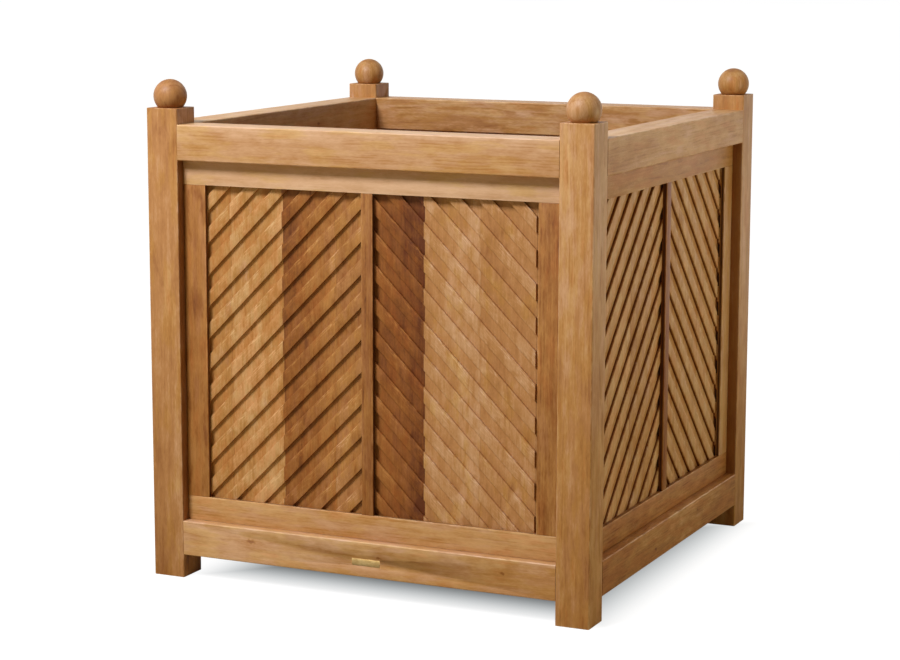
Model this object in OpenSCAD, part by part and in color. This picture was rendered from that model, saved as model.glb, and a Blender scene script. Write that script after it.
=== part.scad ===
// Square timber planter on four corner posts with ball finials. Each side is a framed panel
// of tongued and grooved boards, milled with diagonal channels that meet in a chevron at a
// centre muntin. Rails are tenoned into the posts, and a slatted floor lies on cleats.
// Millimetres, +Z up, origin on the ground at the centre of the square. The front faces -Y.

/* [Overall] */
// Width over the posts, the same on all four sides
width = 700; // [600:10:900]
// Height of the posts, without their finials
post_h = 700; // [500:10:900]

/* [Posts and rails] */
// Side of a square post, and the thickness of the outer rails, so that they are flush
post_w = 51; // [50:1:75]
// Radius of the eased long edges on posts, rails and slats
ease_r = 2; // [1:0.5:3]
// Height of the top and bottom rails
rail_h = 52; // [44:1:70]
// Drop from the post tops to the top of the top rails
rail_drop = 23; // [20:1:60]
// Gap under the bottom rails
foot_h = 35; // [20:1:80]
// Thickness of the rail tenons
tenon_t = 16; // [12:1:20]
// Shoulder above and below the rail tenons
tenon_inset = 8; // [7:0.5:12]

/* [Finials] */
// Diameter of the turned balls
ball_d = 49; // [40:1:50]
// Diameter of the flat on which a ball sits
ball_seat_d = 36; // [28:1:38]
// Diameter of the turned spigot under the ball
spigot_d = 16; // [12:1:18]
// Length of the spigot
spigot_len = 22; // [14:1:24]

/* [Panel frames] */
// Set-back of a panel frame from the face of the posts
frame_recess = 16; // [10:1:18]
// Thickness of the frame members
frame_t = 30; // [28:1:32]
// Height of the frame's own top and bottom rails
frame_rail_h = 36; // [28:1:60]
// Width of the stiles beside the posts
stile_w = 36; // [28:1:60]
// Width of the muntin between the two leaves
muntin_w = 18; // [17:1:40]
// Thickness of the tongue that houses a frame in posts and rails
tongue_t = 8; // [6:1:10]
// Length of that tongue
tongue_len = 6; // [4:0.5:6]

/* [Milled leaves] */
// Thickness of the leaf boards
leaf_t = 14; // [13:0.5:16]
// Set-back of the leaves from the face of their frame
leaf_recess = 7; // [5:0.5:8]
// How far a leaf reaches into the grooves of its frame
leaf_lap = 5; // [4:0.5:6]
// Width of a full board
board_w = 86; // [60:1:120]
// Width of the board beside the stile of a left leaf
first_board_left = 42; // [30:1:100]
// Width of the board beside the stile of a right leaf
first_board_right = 96; // [30:1:100]
// Thickness of the tongue between boards
board_tongue_t = 4; // [3:0.5:5]
// Length of the tongue between boards
board_tongue_len = 5; // [3:0.5:7]
// Width of a raised strip between two channels
strip_w = 16.6; // [10:0.1:30]
// Width of a milled channel
channel_w = 16.6; // [10:0.1:30]
// Depth of a milled channel
channel_d = 4.5; // [2:0.5:5]
// Slope of the channels
channel_slope = 45; // [30:1:60]
// Width of the quirk beside the stile of a right leaf, where its strips stop
quirk_w = 6; // [1:0.5:12]
// How much deeper the quirk is than the channels that run into it
quirk_step = 0.4; // [0.2:0.1:1]
// Height at which a strip of the front and back left leaves would meet the centre line
start_front_left = 14.5; // [0:0.5:60]
// The same on the front and back right leaves
start_front_right = 4.5; // [0:0.5:60]
// The same on the left leaves of the other two sides
start_side_left = 45.5; // [0:0.5:60]
// The same on the right leaves of the other two sides
start_side_right = 28; // [0:0.5:60]

/* [Floor] */
// Side of a square floor cleat, and the height of the bearer
cleat_w = 25; // [22:1:30]
// Height of cleats and bearer over the underside of the bottom rails
cleat_rise = 6; // [4:1:8]
// Width of the bearer under the middle of the slats
bearer_w = 34; // [30:1:60]
// Depth of the bearer's housings in the side rails
bearer_housing = 10; // [6:1:14]
// Width of a floor slat
slat_w = 70; // [50:1:90]
// Thickness of a floor slat
slat_t = 18; // [15:1:22]
// Least gap between two slats
slat_gap = 10; // [6:1:20]
// Gap between the ends of slats and cleats and the rails
slat_end_gap = 2; // [1:0.5:5]

/* [Fixings] */
// Diameter of the screw shanks
screw_d = 4; // [3:0.5:5]
// Diameter of the screw heads
screw_head_d = 8; // [7:0.5:10]
// Length of the screws that hold the slats
slat_screw_len = 34; // [28:1:36]
// Length of the screws that hold the cleats
cleat_screw_len = 50; // [40:1:60]

/* [Name plate] */
// Length of the bare brass plate on the front bottom rail
plate_len = 45; // [30:1:80]
// Height of the plate
plate_h = 10; // [8:1:20]
// Thickness of the plate
plate_t = 1; // [0.8:0.1:2]
// How far the plate stands out of its recess in the rail
plate_proud = 0.4; // [0.2:0.1:0.6]
// Place of the plate to the right of the centre line
plate_shift = 5; // [-60:1:60]
// Drop of the plate below the middle of the rail
plate_drop = 4; // [0:0.5:6]
// Diameter of the plate's pins
pin_d = 1.6; // [1.2:0.1:2]
// Length of the pins behind the plate
pin_len = 10; // [6:1:14]

/* [Clearances] */
// Glue room round tenons, tongues and leaves
glue_gap = 0.2; // [0.1:0.05:0.4]
// Room left at the bottom of a groove or mortise
groove_room = 0.5; // [0.3:0.1:1]
// Gap between neighbouring boards, for the wood to move
board_gap = 0.2; // [0.1:0.05:0.5]
// Room round a screw, pin or spigot
bore_gap = 0.1; // [0.05:0.05:0.2]

/* [Hidden] */

// The turn of each side from the front. A post has the turn of the side that it is at the left of.
QUARTER = 90;
FRONT = 0 * QUARTER;
RIGHT = 1 * QUARTER;
BACK = 2 * QUARTER;
LEFT = 3 * QUARTER;
// The halves of a side, as whether a half is the mirror image of the left one
LEFT_HALF = false;
RIGHT_HALF = true;

// Facets of turned parts, screws and eased edges
turned_fn = 96;
screw_fn = 24;
ease_fn = 24;
// Extra length of a cutter past the face that it opens
over = 1;

// Plan, from the middle of the planter: the outer faces, the inner faces of posts and rails
// and the middle of their thickness. The room is clear between two posts.
half_w = width / 2;
reach = half_w - post_w;
post_c = half_w - post_w / 2;
room = 2 * reach;

// Levels
top_rail_z = post_h - rail_drop - rail_h;
frame_z0 = foot_h + rail_h;
frame_z1 = top_rail_z;
light_z0 = frame_z0 + frame_rail_h;
light_z1 = frame_z1 - frame_rail_h;
cleat_z = foot_h + cleat_rise;
slat_z = cleat_z + cleat_w;

// Places measured from the middle of the planter to the outer face of what lies in a side
frame_y = half_w - frame_recess;
tongue_y = frame_y - (frame_t - tongue_t) / 2;
leaf_y = frame_y - leaf_recess;
tongue_groove = tongue_len + groove_room;
leaf_groove_d = leaf_lap + groove_room;

// Leaves: outer edge, inner edge, width and height, laps included
leaf_x0 = reach - stile_w + leaf_lap;
leaf_w = leaf_x0 - muntin_w / 2 + leaf_lap;
leaf_z0 = light_z0 - leaf_lap;
leaf_h = light_z1 - light_z0 + 2 * leaf_lap;
board_tongue_y = channel_d + (leaf_t - channel_d - board_tongue_t) / 2;
strip_rise = strip_w / cos(channel_slope);
pitch_rise = (strip_w + channel_w) / cos(channel_slope);
slope_rise = tan(channel_slope);

// Floor: the slats spread over the clear room, and the screws of the cleats between the slats
slat_count = floor((room - slat_gap) / (slat_w + slat_gap));
slat_space = (room - slat_count * slat_w) / (slat_count + 1);
slat_x = [for (i = [0:slat_count - 1])
    slat_space + slat_w / 2 - reach + i * (slat_w + slat_space)];
cleat_screw_x = [for (i = [0:slat_count - 2]) (slat_x[i] + slat_x[i + 1]) / 2];

// Height of a ball's centre over its seat
ball_rise = sqrt(ball_d * ball_d - ball_seat_d * ball_seat_d) / 2;

// Places children that are drawn for the front on one of the four sides
module on_side(side) {
    rotate([0, 0, side]) children();
}

// Places children that are drawn round the Z axis at one of the four posts
module at_corner(corner) {
    on_side(corner) translate([-post_c, -post_c, 0]) children();
}

// Draws children for the left half of a side on either half
module on_half(half) {
    mirror([half ? 1 : 0, 0, 0]) children();
}

// Draws children and their mirror image
module both_halves() {
    for (half = [LEFT_HALF, RIGHT_HALF]) on_half(half) children();
}

// Rectangle with rounded corners and its lower left corner at the origin
module eased_rect(w, h) {
    translate([ease_r, 0]) square([w - 2 * ease_r, h]);
    translate([0, ease_r]) square([w, h - 2 * ease_r]);
    for (x = [ease_r, w - ease_r], y = [ease_r, h - ease_r])
        translate([x, y]) circle(ease_r, $fn = ease_fn);
}

// Bar with eased long edges along X, centred on X = 0
module bar_x(len, t, h) {
    translate([-len / 2, 0, 0]) rotate([QUARTER, 0, QUARTER])
        linear_extrude(len) eased_rect(t, h);
}

// Bar with eased long edges along Y, centred on Y = 0
module bar_y(len, w, h) {
    translate([w, -len / 2, 0]) rotate([QUARTER, 0, 2 * QUARTER])
        linear_extrude(len) eased_rect(w, h);
}

// Block given by its lowest corner and its highest one
module block(low, high) {
    translate(low) cube(high - low);
}

// Posts -----------------------------------------------------------------------------------------

// Mortise for one rail in the +X face of a post that stands on the Z axis
module rail_mortise(rail_z) {
    side = tenon_t / 2 + glue_gap;
    block([-side, -side, rail_z + tenon_inset - glue_gap],
          [post_w / 2 + over, side, rail_z + rail_h - tenon_inset + glue_gap]);
}

// Groove in the same face for the tongue of a panel frame, from rail to rail
module post_groove() {
    y = post_c - tongue_y;
    block([post_w / 2 - tongue_groove, y - glue_gap, frame_z0],
          [post_w / 2 + over, y + tongue_t + glue_gap, frame_z1]);
}

module post_cuts() {
    rail_mortise(top_rail_z);
    rail_mortise(foot_h);
    post_groove();
}

// Post with the same cuts in its two inner faces and a bore for its finial
module post(corner) {
    bore_d = spigot_d + 2 * bore_gap;
    bore_len = spigot_len + groove_room;
    color("peru") at_corner(corner) difference() {
        translate([-post_w / 2, -post_w / 2, 0]) linear_extrude(post_h)
            eased_rect(post_w, post_w);
        post_cuts();
        mirror([1, -1, 0]) post_cuts();
        translate([0, 0, post_h - bore_len])
            cylinder(d = bore_d, h = bore_len + over, $fn = turned_fn);
    }
}

// Turned ball with a flat seat and its spigot, one piece of wood
module finial(corner) {
    color("tan") at_corner(corner) translate([0, 0, post_h]) {
        intersection() {
            translate([0, 0, ball_rise]) sphere(d = ball_d, $fn = turned_fn);
            cylinder(d = ball_d + over, h = ball_rise + ball_d, $fn = turned_fn);
        }
        translate([0, 0, -spigot_len])
            cylinder(d = spigot_d, h = spigot_len + over, $fn = turned_fn);
    }
}

// Outer rails -----------------------------------------------------------------------------------

// Tenon at the left end of a rail, mitred where it meets its neighbour inside the post
module rail_tenon(rail_z) {
    low = -post_c - tenon_t / 2;
    high = -post_c + tenon_t / 2;
    translate([0, 0, rail_z + tenon_inset]) linear_extrude(rail_h - 2 * tenon_inset)
        polygon([[low + glue_gap, low], [over - reach, low], [over - reach, high],
                 [high + glue_gap, high]]);
}

module rail(rail_z) {
    translate([0, -half_w, rail_z]) bar_x(room, post_w, rail_h);
    both_halves() rail_tenon(rail_z);
}

// Groove for a frame's tongue in the edge of a rail, from z0 to z1
module rail_groove(z0, z1) {
    block([-reach, -tongue_y - glue_gap, z0],
          [reach, tongue_t + glue_gap - tongue_y, z1]);
}

module top_rail(side) {
    color("burlywood") on_side(side) difference() {
        rail(top_rail_z);
        rail_groove(top_rail_z - over, top_rail_z + tongue_groove);
    }
}

// Housing for one end of the floor bearer, which rests on the bottom of it
module bearer_pocket() {
    half = bearer_w / 2 + glue_gap;
    block([-half, -reach - bearer_housing - glue_gap, cleat_z],
          [half, over - reach, slat_z + glue_gap]);
}

// The front and back rails carry the cleats, and the other two carry the bearer
module bottom_rail(side) {
    color("burlywood") on_side(side) difference() {
        rail(foot_h);
        rail_groove(frame_z0 - tongue_groove, frame_z0 + over);
        if (side == FRONT) plate_seat();
        if (side == FRONT || side == BACK) cleat_screw_bores();
        else bearer_pocket();
    }
}

// Panel frames ----------------------------------------------------------------------------------

// Body of a frame member from x0 to x1 and from z0 to z1
module member(x0, x1, z0, z1) {
    block([x0, -frame_y, z0], [x1, frame_t - frame_y, z1]);
}

// Tongue that goes into a post or a rail
module frame_tongue(x0, x1, z0, z1) {
    block([x0, -tongue_y, z0], [x1, tongue_t - tongue_y, z1]);
}

// Stub tenon, as thick as a leaf
module stub(x0, x1, z0, z1) {
    block([x0, -leaf_y, z0], [x1, leaf_t - leaf_y, z1]);
}

// Groove that takes the leaves
module leaf_groove(x0, x1, z0, z1) {
    block([x0, -leaf_y - glue_gap, z0], [x1, leaf_t + glue_gap - leaf_y, z1]);
}

// Frame rail with tongues on its outer edge, from z_edge to z_tip, and on both ends
module frame_rail(z0, z1, z_edge, z_tip) {
    end = reach + tongue_len;
    member(-reach, reach, z0, z1);
    frame_tongue(-reach, reach, min(z_edge, z_tip), max(z_edge, z_tip));
    frame_tongue(-end, end, z0, z1);
}

module frame_top(side) {
    end = reach + tongue_len + over;
    color("wheat") on_side(side) difference() {
        frame_rail(light_z1, frame_z1, frame_z1 - over, frame_z1 + tongue_len);
        leaf_groove(-end, end, light_z1 - over, light_z1 + leaf_groove_d);
    }
}

// The leaves stand on the bottom of the groove in the lower frame rail
module frame_bottom(side) {
    end = reach + tongue_len + over;
    color("wheat") on_side(side) difference() {
        frame_rail(frame_z0, light_z0, frame_z0 + over, frame_z0 - tongue_len);
        leaf_groove(-end, end, leaf_z0, light_z0 + over);
    }
}

// Upright beside a post
module stile(side, half) {
    edge = stile_w - reach;
    color("sandybrown") on_side(side) on_half(half) difference() {
        union() {
            member(-reach, edge, light_z0, light_z1);
            frame_tongue(-reach - tongue_len, over - reach, light_z0, light_z1);
            stub(-reach, edge, leaf_z0, leaf_z0 + leaf_h);
        }
        leaf_groove(edge - leaf_groove_d, edge + over, leaf_z0 - over, leaf_z0 + leaf_h + over);
    }
}

// Centre upright, grooved on both edges
module muntin(side) {
    edge = muntin_w / 2;
    color("sandybrown") on_side(side) difference() {
        union() {
            member(-edge, edge, light_z0, light_z1);
            stub(-edge, edge, leaf_z0, leaf_z0 + leaf_h);
        }
        both_halves() leaf_groove(edge - leaf_groove_d, edge + over,
                                  leaf_z0 - over, leaf_z0 + leaf_h + over);
    }
}

// Milled leaves ---------------------------------------------------------------------------------
// A leaf is drawn from its lower outer corner, with its face at y = 0 and x towards the muntin.

// Joints between the boards, and the leaf's own edges. What is left over beside the muntin is
// part of the board next to it where it is less than half a board wide.
function board_edges(first_board) = concat(
    [0], [for (x = [first_board:board_w:leaf_w - board_w / 2]) x], [leaf_w]);

// Tongue between two boards, or the groove for it where the room round it is more than 0
module board_tongue(x0, x1, room) {
    ends = room > 0 ? over : 0;
    block([x0, board_tongue_y - room, -ends],
          [x1, board_tongue_y + board_tongue_t + room, leaf_h + ends]);
}

// Board from joint to joint: a tongued edge stands back from its joint by the gap
module board_blank(x0, x1, tongued, grooved) {
    edge = x1 - (tongued ? board_gap : 0);
    difference() {
        union() {
            block([x0, 0, 0], [edge, leaf_t, leaf_h]);
            if (tongued) board_tongue(edge - over, x1 + board_tongue_len, 0);
        }
        if (grooved) board_tongue(x0 - over, x0 + board_tongue_len + groove_room, glue_gap);
    }
}

// Channels across the board from x0 to x1: a strip's lower edge meets x = 0 at the height start
module channels(x0, x1, start) {
    mid = (x0 + x1) / 2;
    first = floor((-start - x1 * slope_rise) / pitch_rise);
    last = ceil((leaf_h - strip_rise - start - x0 * slope_rise) / pitch_rise) - 1;
    span = (x1 - x0) / cos(channel_slope) + 2 * slope_rise * (strip_w + channel_w);
    for (i = [first:last])
        translate([mid, 0, start + mid * slope_rise + i * pitch_rise])
            rotate([0, -channel_slope, 0]) translate([-span / 2, -over, strip_w])
                cube([span, over + channel_d, channel_w]);
}

// Upright quirk along the stile, which leaves the edge in the stile's groove at full thickness
module quirk() {
    block([leaf_lap, -over, -over], [leaf_lap + quirk_w, channel_d + quirk_step, leaf_h + over]);
}

module leaf_boards(first_board, start, has_quirk) {
    edges = board_edges(first_board);
    last = len(edges) - 2;
    for (i = [0:last]) difference() {
        board_blank(edges[i], edges[i + 1], i < last, i > 0);
        channels(edges[i], edges[i + 1], start);
        if (i == 0 && has_quirk) quirk();
    }
}

// Both leaves rise to the muntin
module leaf(side, half, centre_start) {
    first_board = half == LEFT_HALF ? first_board_left : first_board_right;
    start = centre_start - leaf_x0 * slope_rise - leaf_z0;
    color("peru") on_side(side) on_half(half)
        translate([-leaf_x0, -leaf_y, leaf_z0]) leaf_boards(first_board, start, half == RIGHT_HALF);
}

// Floor -----------------------------------------------------------------------------------------

// Half outline of a countersunk screw that points to -Y, with the face of its head at y = 0
module screw_outline(length, room) {
    r = screw_d / 2 + room;
    head_r = screw_head_d / 2 + room;
    polygon([[0, 0], [head_r, 0], [r, r - head_r], [r, screw_d - length],
             [0, -length - room]]);
}

// Screw that points to -Z
module screw(length) {
    rotate_extrude($fn = screw_fn) screw_outline(length, 0);
}

// Bore for that screw, open above its head
module screw_bore(length) {
    rotate_extrude($fn = screw_fn) {
        screw_outline(length, bore_gap);
        square([screw_head_d / 2 + bore_gap, over]);
    }
}

// Screws down through the slats into the cleats and the bearer
module at_slat_screws() {
    row_y = reach - cleat_w / 2;
    for (x = slat_x, y = [-row_y, 0, row_y]) translate([x, y, slat_z + slat_t]) children();
}

// Screws out through a cleat into its rail
module at_cleat_screws() {
    for (x = cleat_screw_x)
        translate([x, cleat_w - reach, cleat_z + cleat_w / 2]) rotate([-QUARTER, 0, 0])
            children();
}

module slat_screw_bores() {
    at_slat_screws() screw_bore(slat_screw_len);
}

module cleat_screw_bores() {
    at_cleat_screws() screw_bore(cleat_screw_len);
}

// Cleat along a bottom rail, from post to post
module cleat(side) {
    color("sienna") on_side(side) difference() {
        translate([0, -reach, cleat_z]) bar_x(room - 2 * slat_end_gap, cleat_w, cleat_w);
        cleat_screw_bores();
        slat_screw_bores();
    }
}

module floor_bearer() {
    color("sienna") difference() {
        translate([0, -bearer_w / 2, cleat_z])
            bar_x(room + 2 * bearer_housing, bearer_w, cleat_w);
        slat_screw_bores();
    }
}

module floor_slats() {
    color("chocolate") difference() {
        for (x = slat_x) translate([x - slat_w / 2, 0, slat_z])
            bar_y(room - 2 * slat_end_gap, slat_w, slat_t);
        slat_screw_bores();
    }
}

module slat_screws() {
    color("silver") at_slat_screws() screw(slat_screw_len);
}

module cleat_screws() {
    color("silver") for (side = [FRONT, BACK]) on_side(side)
        at_cleat_screws() screw(cleat_screw_len);
}

// Name plate ------------------------------------------------------------------------------------

// Places children at the middle of the plate's back, with +Z out of the rail
module on_plate() {
    translate([plate_shift, plate_t - plate_proud - half_w, foot_h + rail_h / 2 - plate_drop])
        rotate([QUARTER, 0, 0]) children();
}

module at_pins() {
    on_plate() for (x = [plate_h - plate_len, plate_len - plate_h] / 2)
        translate([x, 0, -pin_len]) children();
}

// Recess in the rail and the bores behind it
module plate_seat() {
    room_w = plate_len + 2 * bore_gap;
    room_h = plate_h + 2 * bore_gap;
    on_plate() translate([-room_w / 2, -room_h / 2, 0]) cube([room_w, room_h, plate_t + over]);
    pin_bores();
}

module pin_bores() {
    at_pins() translate([0, 0, -bore_gap])
        cylinder(d = pin_d + 2 * bore_gap, h = pin_len + plate_t + over, $fn = screw_fn);
}

module name_plate() {
    color("gold") difference() {
        on_plate() translate([-plate_len / 2, -plate_h / 2, 0]) cube([plate_len, plate_h, plate_t]);
        pin_bores();
    }
}

// Pins with their heads filed flush with the plate
module plate_pins() {
    color("darkkhaki") at_pins() cylinder(d = pin_d, h = pin_len + plate_t, $fn = screw_fn);
}

// Assembly --------------------------------------------------------------------------------------

post(FRONT);  // post_front_left
post(RIGHT);  // post_front_right
post(BACK);  // post_back_right
post(LEFT);  // post_back_left

finial(FRONT);  // finial_front_left
finial(RIGHT);  // finial_front_right
finial(BACK);  // finial_back_right
finial(LEFT);  // finial_back_left

top_rail(FRONT);  // front_top_rail
top_rail(RIGHT);  // right_top_rail
top_rail(BACK);  // back_top_rail
top_rail(LEFT);  // left_top_rail

bottom_rail(FRONT);  // front_bottom_rail
bottom_rail(RIGHT);  // right_bottom_rail
bottom_rail(BACK);  // back_bottom_rail
bottom_rail(LEFT);  // left_bottom_rail

frame_top(FRONT);  // front_frame_top
frame_top(RIGHT);  // right_frame_top
frame_top(BACK);  // back_frame_top
frame_top(LEFT);  // left_frame_top

frame_bottom(FRONT);  // front_frame_bottom
frame_bottom(RIGHT);  // right_frame_bottom
frame_bottom(BACK);  // back_frame_bottom
frame_bottom(LEFT);  // left_frame_bottom

stile(FRONT, LEFT_HALF);  // front_left_stile
stile(RIGHT, LEFT_HALF);  // right_left_stile
stile(BACK, LEFT_HALF);  // back_left_stile
stile(LEFT, LEFT_HALF);  // left_left_stile

stile(FRONT, RIGHT_HALF);  // front_right_stile
stile(RIGHT, RIGHT_HALF);  // right_right_stile
stile(BACK, RIGHT_HALF);  // back_right_stile
stile(LEFT, RIGHT_HALF);  // left_right_stile

muntin(FRONT);  // front_muntin
muntin(RIGHT);  // right_muntin
muntin(BACK);  // back_muntin
muntin(LEFT);  // left_muntin

leaf(FRONT, LEFT_HALF, start_front_left);  // front_left_leaf
leaf(RIGHT, LEFT_HALF, start_side_left);  // right_left_leaf
leaf(BACK, LEFT_HALF, start_front_left);  // back_left_leaf
leaf(LEFT, LEFT_HALF, start_side_left);  // left_left_leaf

leaf(FRONT, RIGHT_HALF, start_front_right);  // front_right_leaf
leaf(RIGHT, RIGHT_HALF, start_side_right);  // right_right_leaf
leaf(BACK, RIGHT_HALF, start_front_right);  // back_right_leaf
leaf(LEFT, RIGHT_HALF, start_side_right);  // left_right_leaf

cleat(FRONT);  // front_cleat
cleat(BACK);  // back_cleat
floor_bearer();
floor_slats();

slat_screws();
cleat_screws();
name_plate();
plate_pins();
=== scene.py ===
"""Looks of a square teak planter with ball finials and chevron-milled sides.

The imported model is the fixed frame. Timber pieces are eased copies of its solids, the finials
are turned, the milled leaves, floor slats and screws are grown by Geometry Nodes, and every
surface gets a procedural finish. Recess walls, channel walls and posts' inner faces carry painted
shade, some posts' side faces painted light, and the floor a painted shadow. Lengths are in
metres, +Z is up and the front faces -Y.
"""

import logging
import math
import random
from dataclasses import asdict, dataclass, fields
from enum import Enum
from functools import partial, reduce
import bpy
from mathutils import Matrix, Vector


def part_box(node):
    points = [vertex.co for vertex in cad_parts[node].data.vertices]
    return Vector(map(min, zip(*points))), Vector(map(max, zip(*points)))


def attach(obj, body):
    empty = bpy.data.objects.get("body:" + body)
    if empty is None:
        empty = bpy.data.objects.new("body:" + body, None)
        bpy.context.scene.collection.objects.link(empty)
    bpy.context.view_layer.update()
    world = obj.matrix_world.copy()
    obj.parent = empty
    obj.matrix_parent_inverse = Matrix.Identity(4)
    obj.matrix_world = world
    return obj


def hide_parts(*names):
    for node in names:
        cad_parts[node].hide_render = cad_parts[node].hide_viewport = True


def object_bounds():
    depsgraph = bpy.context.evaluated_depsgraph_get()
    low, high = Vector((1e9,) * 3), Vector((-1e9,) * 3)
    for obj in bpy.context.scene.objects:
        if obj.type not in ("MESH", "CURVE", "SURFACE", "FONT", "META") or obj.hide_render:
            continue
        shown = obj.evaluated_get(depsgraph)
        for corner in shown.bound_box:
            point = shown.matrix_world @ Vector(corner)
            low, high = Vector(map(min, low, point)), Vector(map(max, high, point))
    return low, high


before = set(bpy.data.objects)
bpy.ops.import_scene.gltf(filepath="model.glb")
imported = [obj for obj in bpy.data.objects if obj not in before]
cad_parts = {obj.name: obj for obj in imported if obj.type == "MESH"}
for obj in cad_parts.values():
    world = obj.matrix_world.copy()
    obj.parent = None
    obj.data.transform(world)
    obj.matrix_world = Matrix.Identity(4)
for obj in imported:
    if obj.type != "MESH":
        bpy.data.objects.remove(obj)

from types import SimpleNamespace
from typing import Callable, ClassVar, Optional, Union

import bmesh
import bpy
from mathutils import Matrix, Vector

CAD_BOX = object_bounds()
MM = 0.001
WELD = 1e-6
LOG = logging.getLogger("planter")

Colour = tuple[float, float, float]
Span = tuple[float, float]
Box = tuple[Vector, Vector]
Place = tuple["Wire", "Wire", "Wire"]
Value = Union["Wire", float, int, tuple, Vector, str, bool, bpy.types.Material]

# How far a face is turned to an axis where it begins to count as turned to it, and where it does.
TURNED: Span = (0.4, 0.8)


class Grain(Enum):
    """The axis that a piece's grain runs along, and then the two axes across it."""

    X = (0, 1, 2)
    Y = (1, 2, 0)
    Z = (2, 0, 1)


class Named(Enum):
    """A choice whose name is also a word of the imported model."""

    @property
    def label(self) -> str:
        """The word."""
        return self.name.lower()


class Side(Named):
    """The four sides, as quarter turns from the front."""

    FRONT = 0
    RIGHT = 1
    BACK = 2
    LEFT = 3

    @property
    def turn(self) -> float:
        """The side's turn about the Z axis, in radians."""
        return self.value * math.pi / 2

    @property
    def is_flank(self) -> bool:
        """Whether it is the left or the right side."""
        return self.value % 2 == 1

    @property
    def along(self) -> Grain:
        """The grain of a piece that lies along the side."""
        return Grain.Y if self.is_flank else Grain.X


class Half(Named):
    """The halves of a side, as the sign of their place along it."""

    LEFT = -1
    RIGHT = 1

    @property
    def slope(self) -> float:
        """The rise of the half's strips along the side."""
        return -float(self.value)


CORNERS = ("front_left", "front_right", "back_right", "back_left")


def srgb(*channels: float) -> Colour:
    """Turns a colour as seen on a screen into the linear one that shaders use.

    Args:
        channels: Red, green and blue, from 0 to 255.

    Returns:
        The linear colour, from 0 to 1.
    """
    parts = (channel / 255 for channel in channels)
    return tuple(
        part / 12.92 if part <= 0.04045 else ((part + 0.055) / 1.055) ** 2.4 for part in parts
    )


# Node trees ----------------------------------------------------------------------------------


def operator(operation: str, swapped: bool = False) -> Callable[..., "Wire"]:
    """Makes one arithmetic method of a wire.

    Args:
        operation: The operation of its Math node.
        swapped: Whether the wire comes last, as in a reflected form.

    Returns:
        The method.
    """

    def method(wire: "Wire", *others: Value) -> "Wire":
        """A Math node on the wire and the other values."""
        values = (*others, wire) if swapped else (wire, *others)
        return wire.graph.math(operation, *values)

    return method


class Wire:
    """A node's output that takes part in Python arithmetic."""

    __add__, __radd__ = operator("ADD"), operator("ADD", swapped=True)
    __sub__, __rsub__ = operator("SUBTRACT"), operator("SUBTRACT", swapped=True)
    __mul__, __rmul__ = operator("MULTIPLY"), operator("MULTIPLY", swapped=True)
    __truediv__, __rtruediv__ = operator("DIVIDE"), operator("DIVIDE", swapped=True)
    __pow__ = operator("POWER")
    __mod__ = operator("FLOORED_MODULO")
    __abs__ = operator("ABSOLUTE")
    __floor__ = operator("FLOOR")

    def __init__(self, graph: "Graph", socket: bpy.types.NodeSocket) -> None:
        """Wraps a socket of a graph."""
        self.graph = graph
        self.socket = socket

    def __neg__(self) -> "Wire":
        """The wire times -1."""
        return self * -1.0

    def out(self, name: str) -> "Wire":
        """Another output of the same node, by its name."""
        return Wire(self.graph, self.socket.node.outputs[name])


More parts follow.
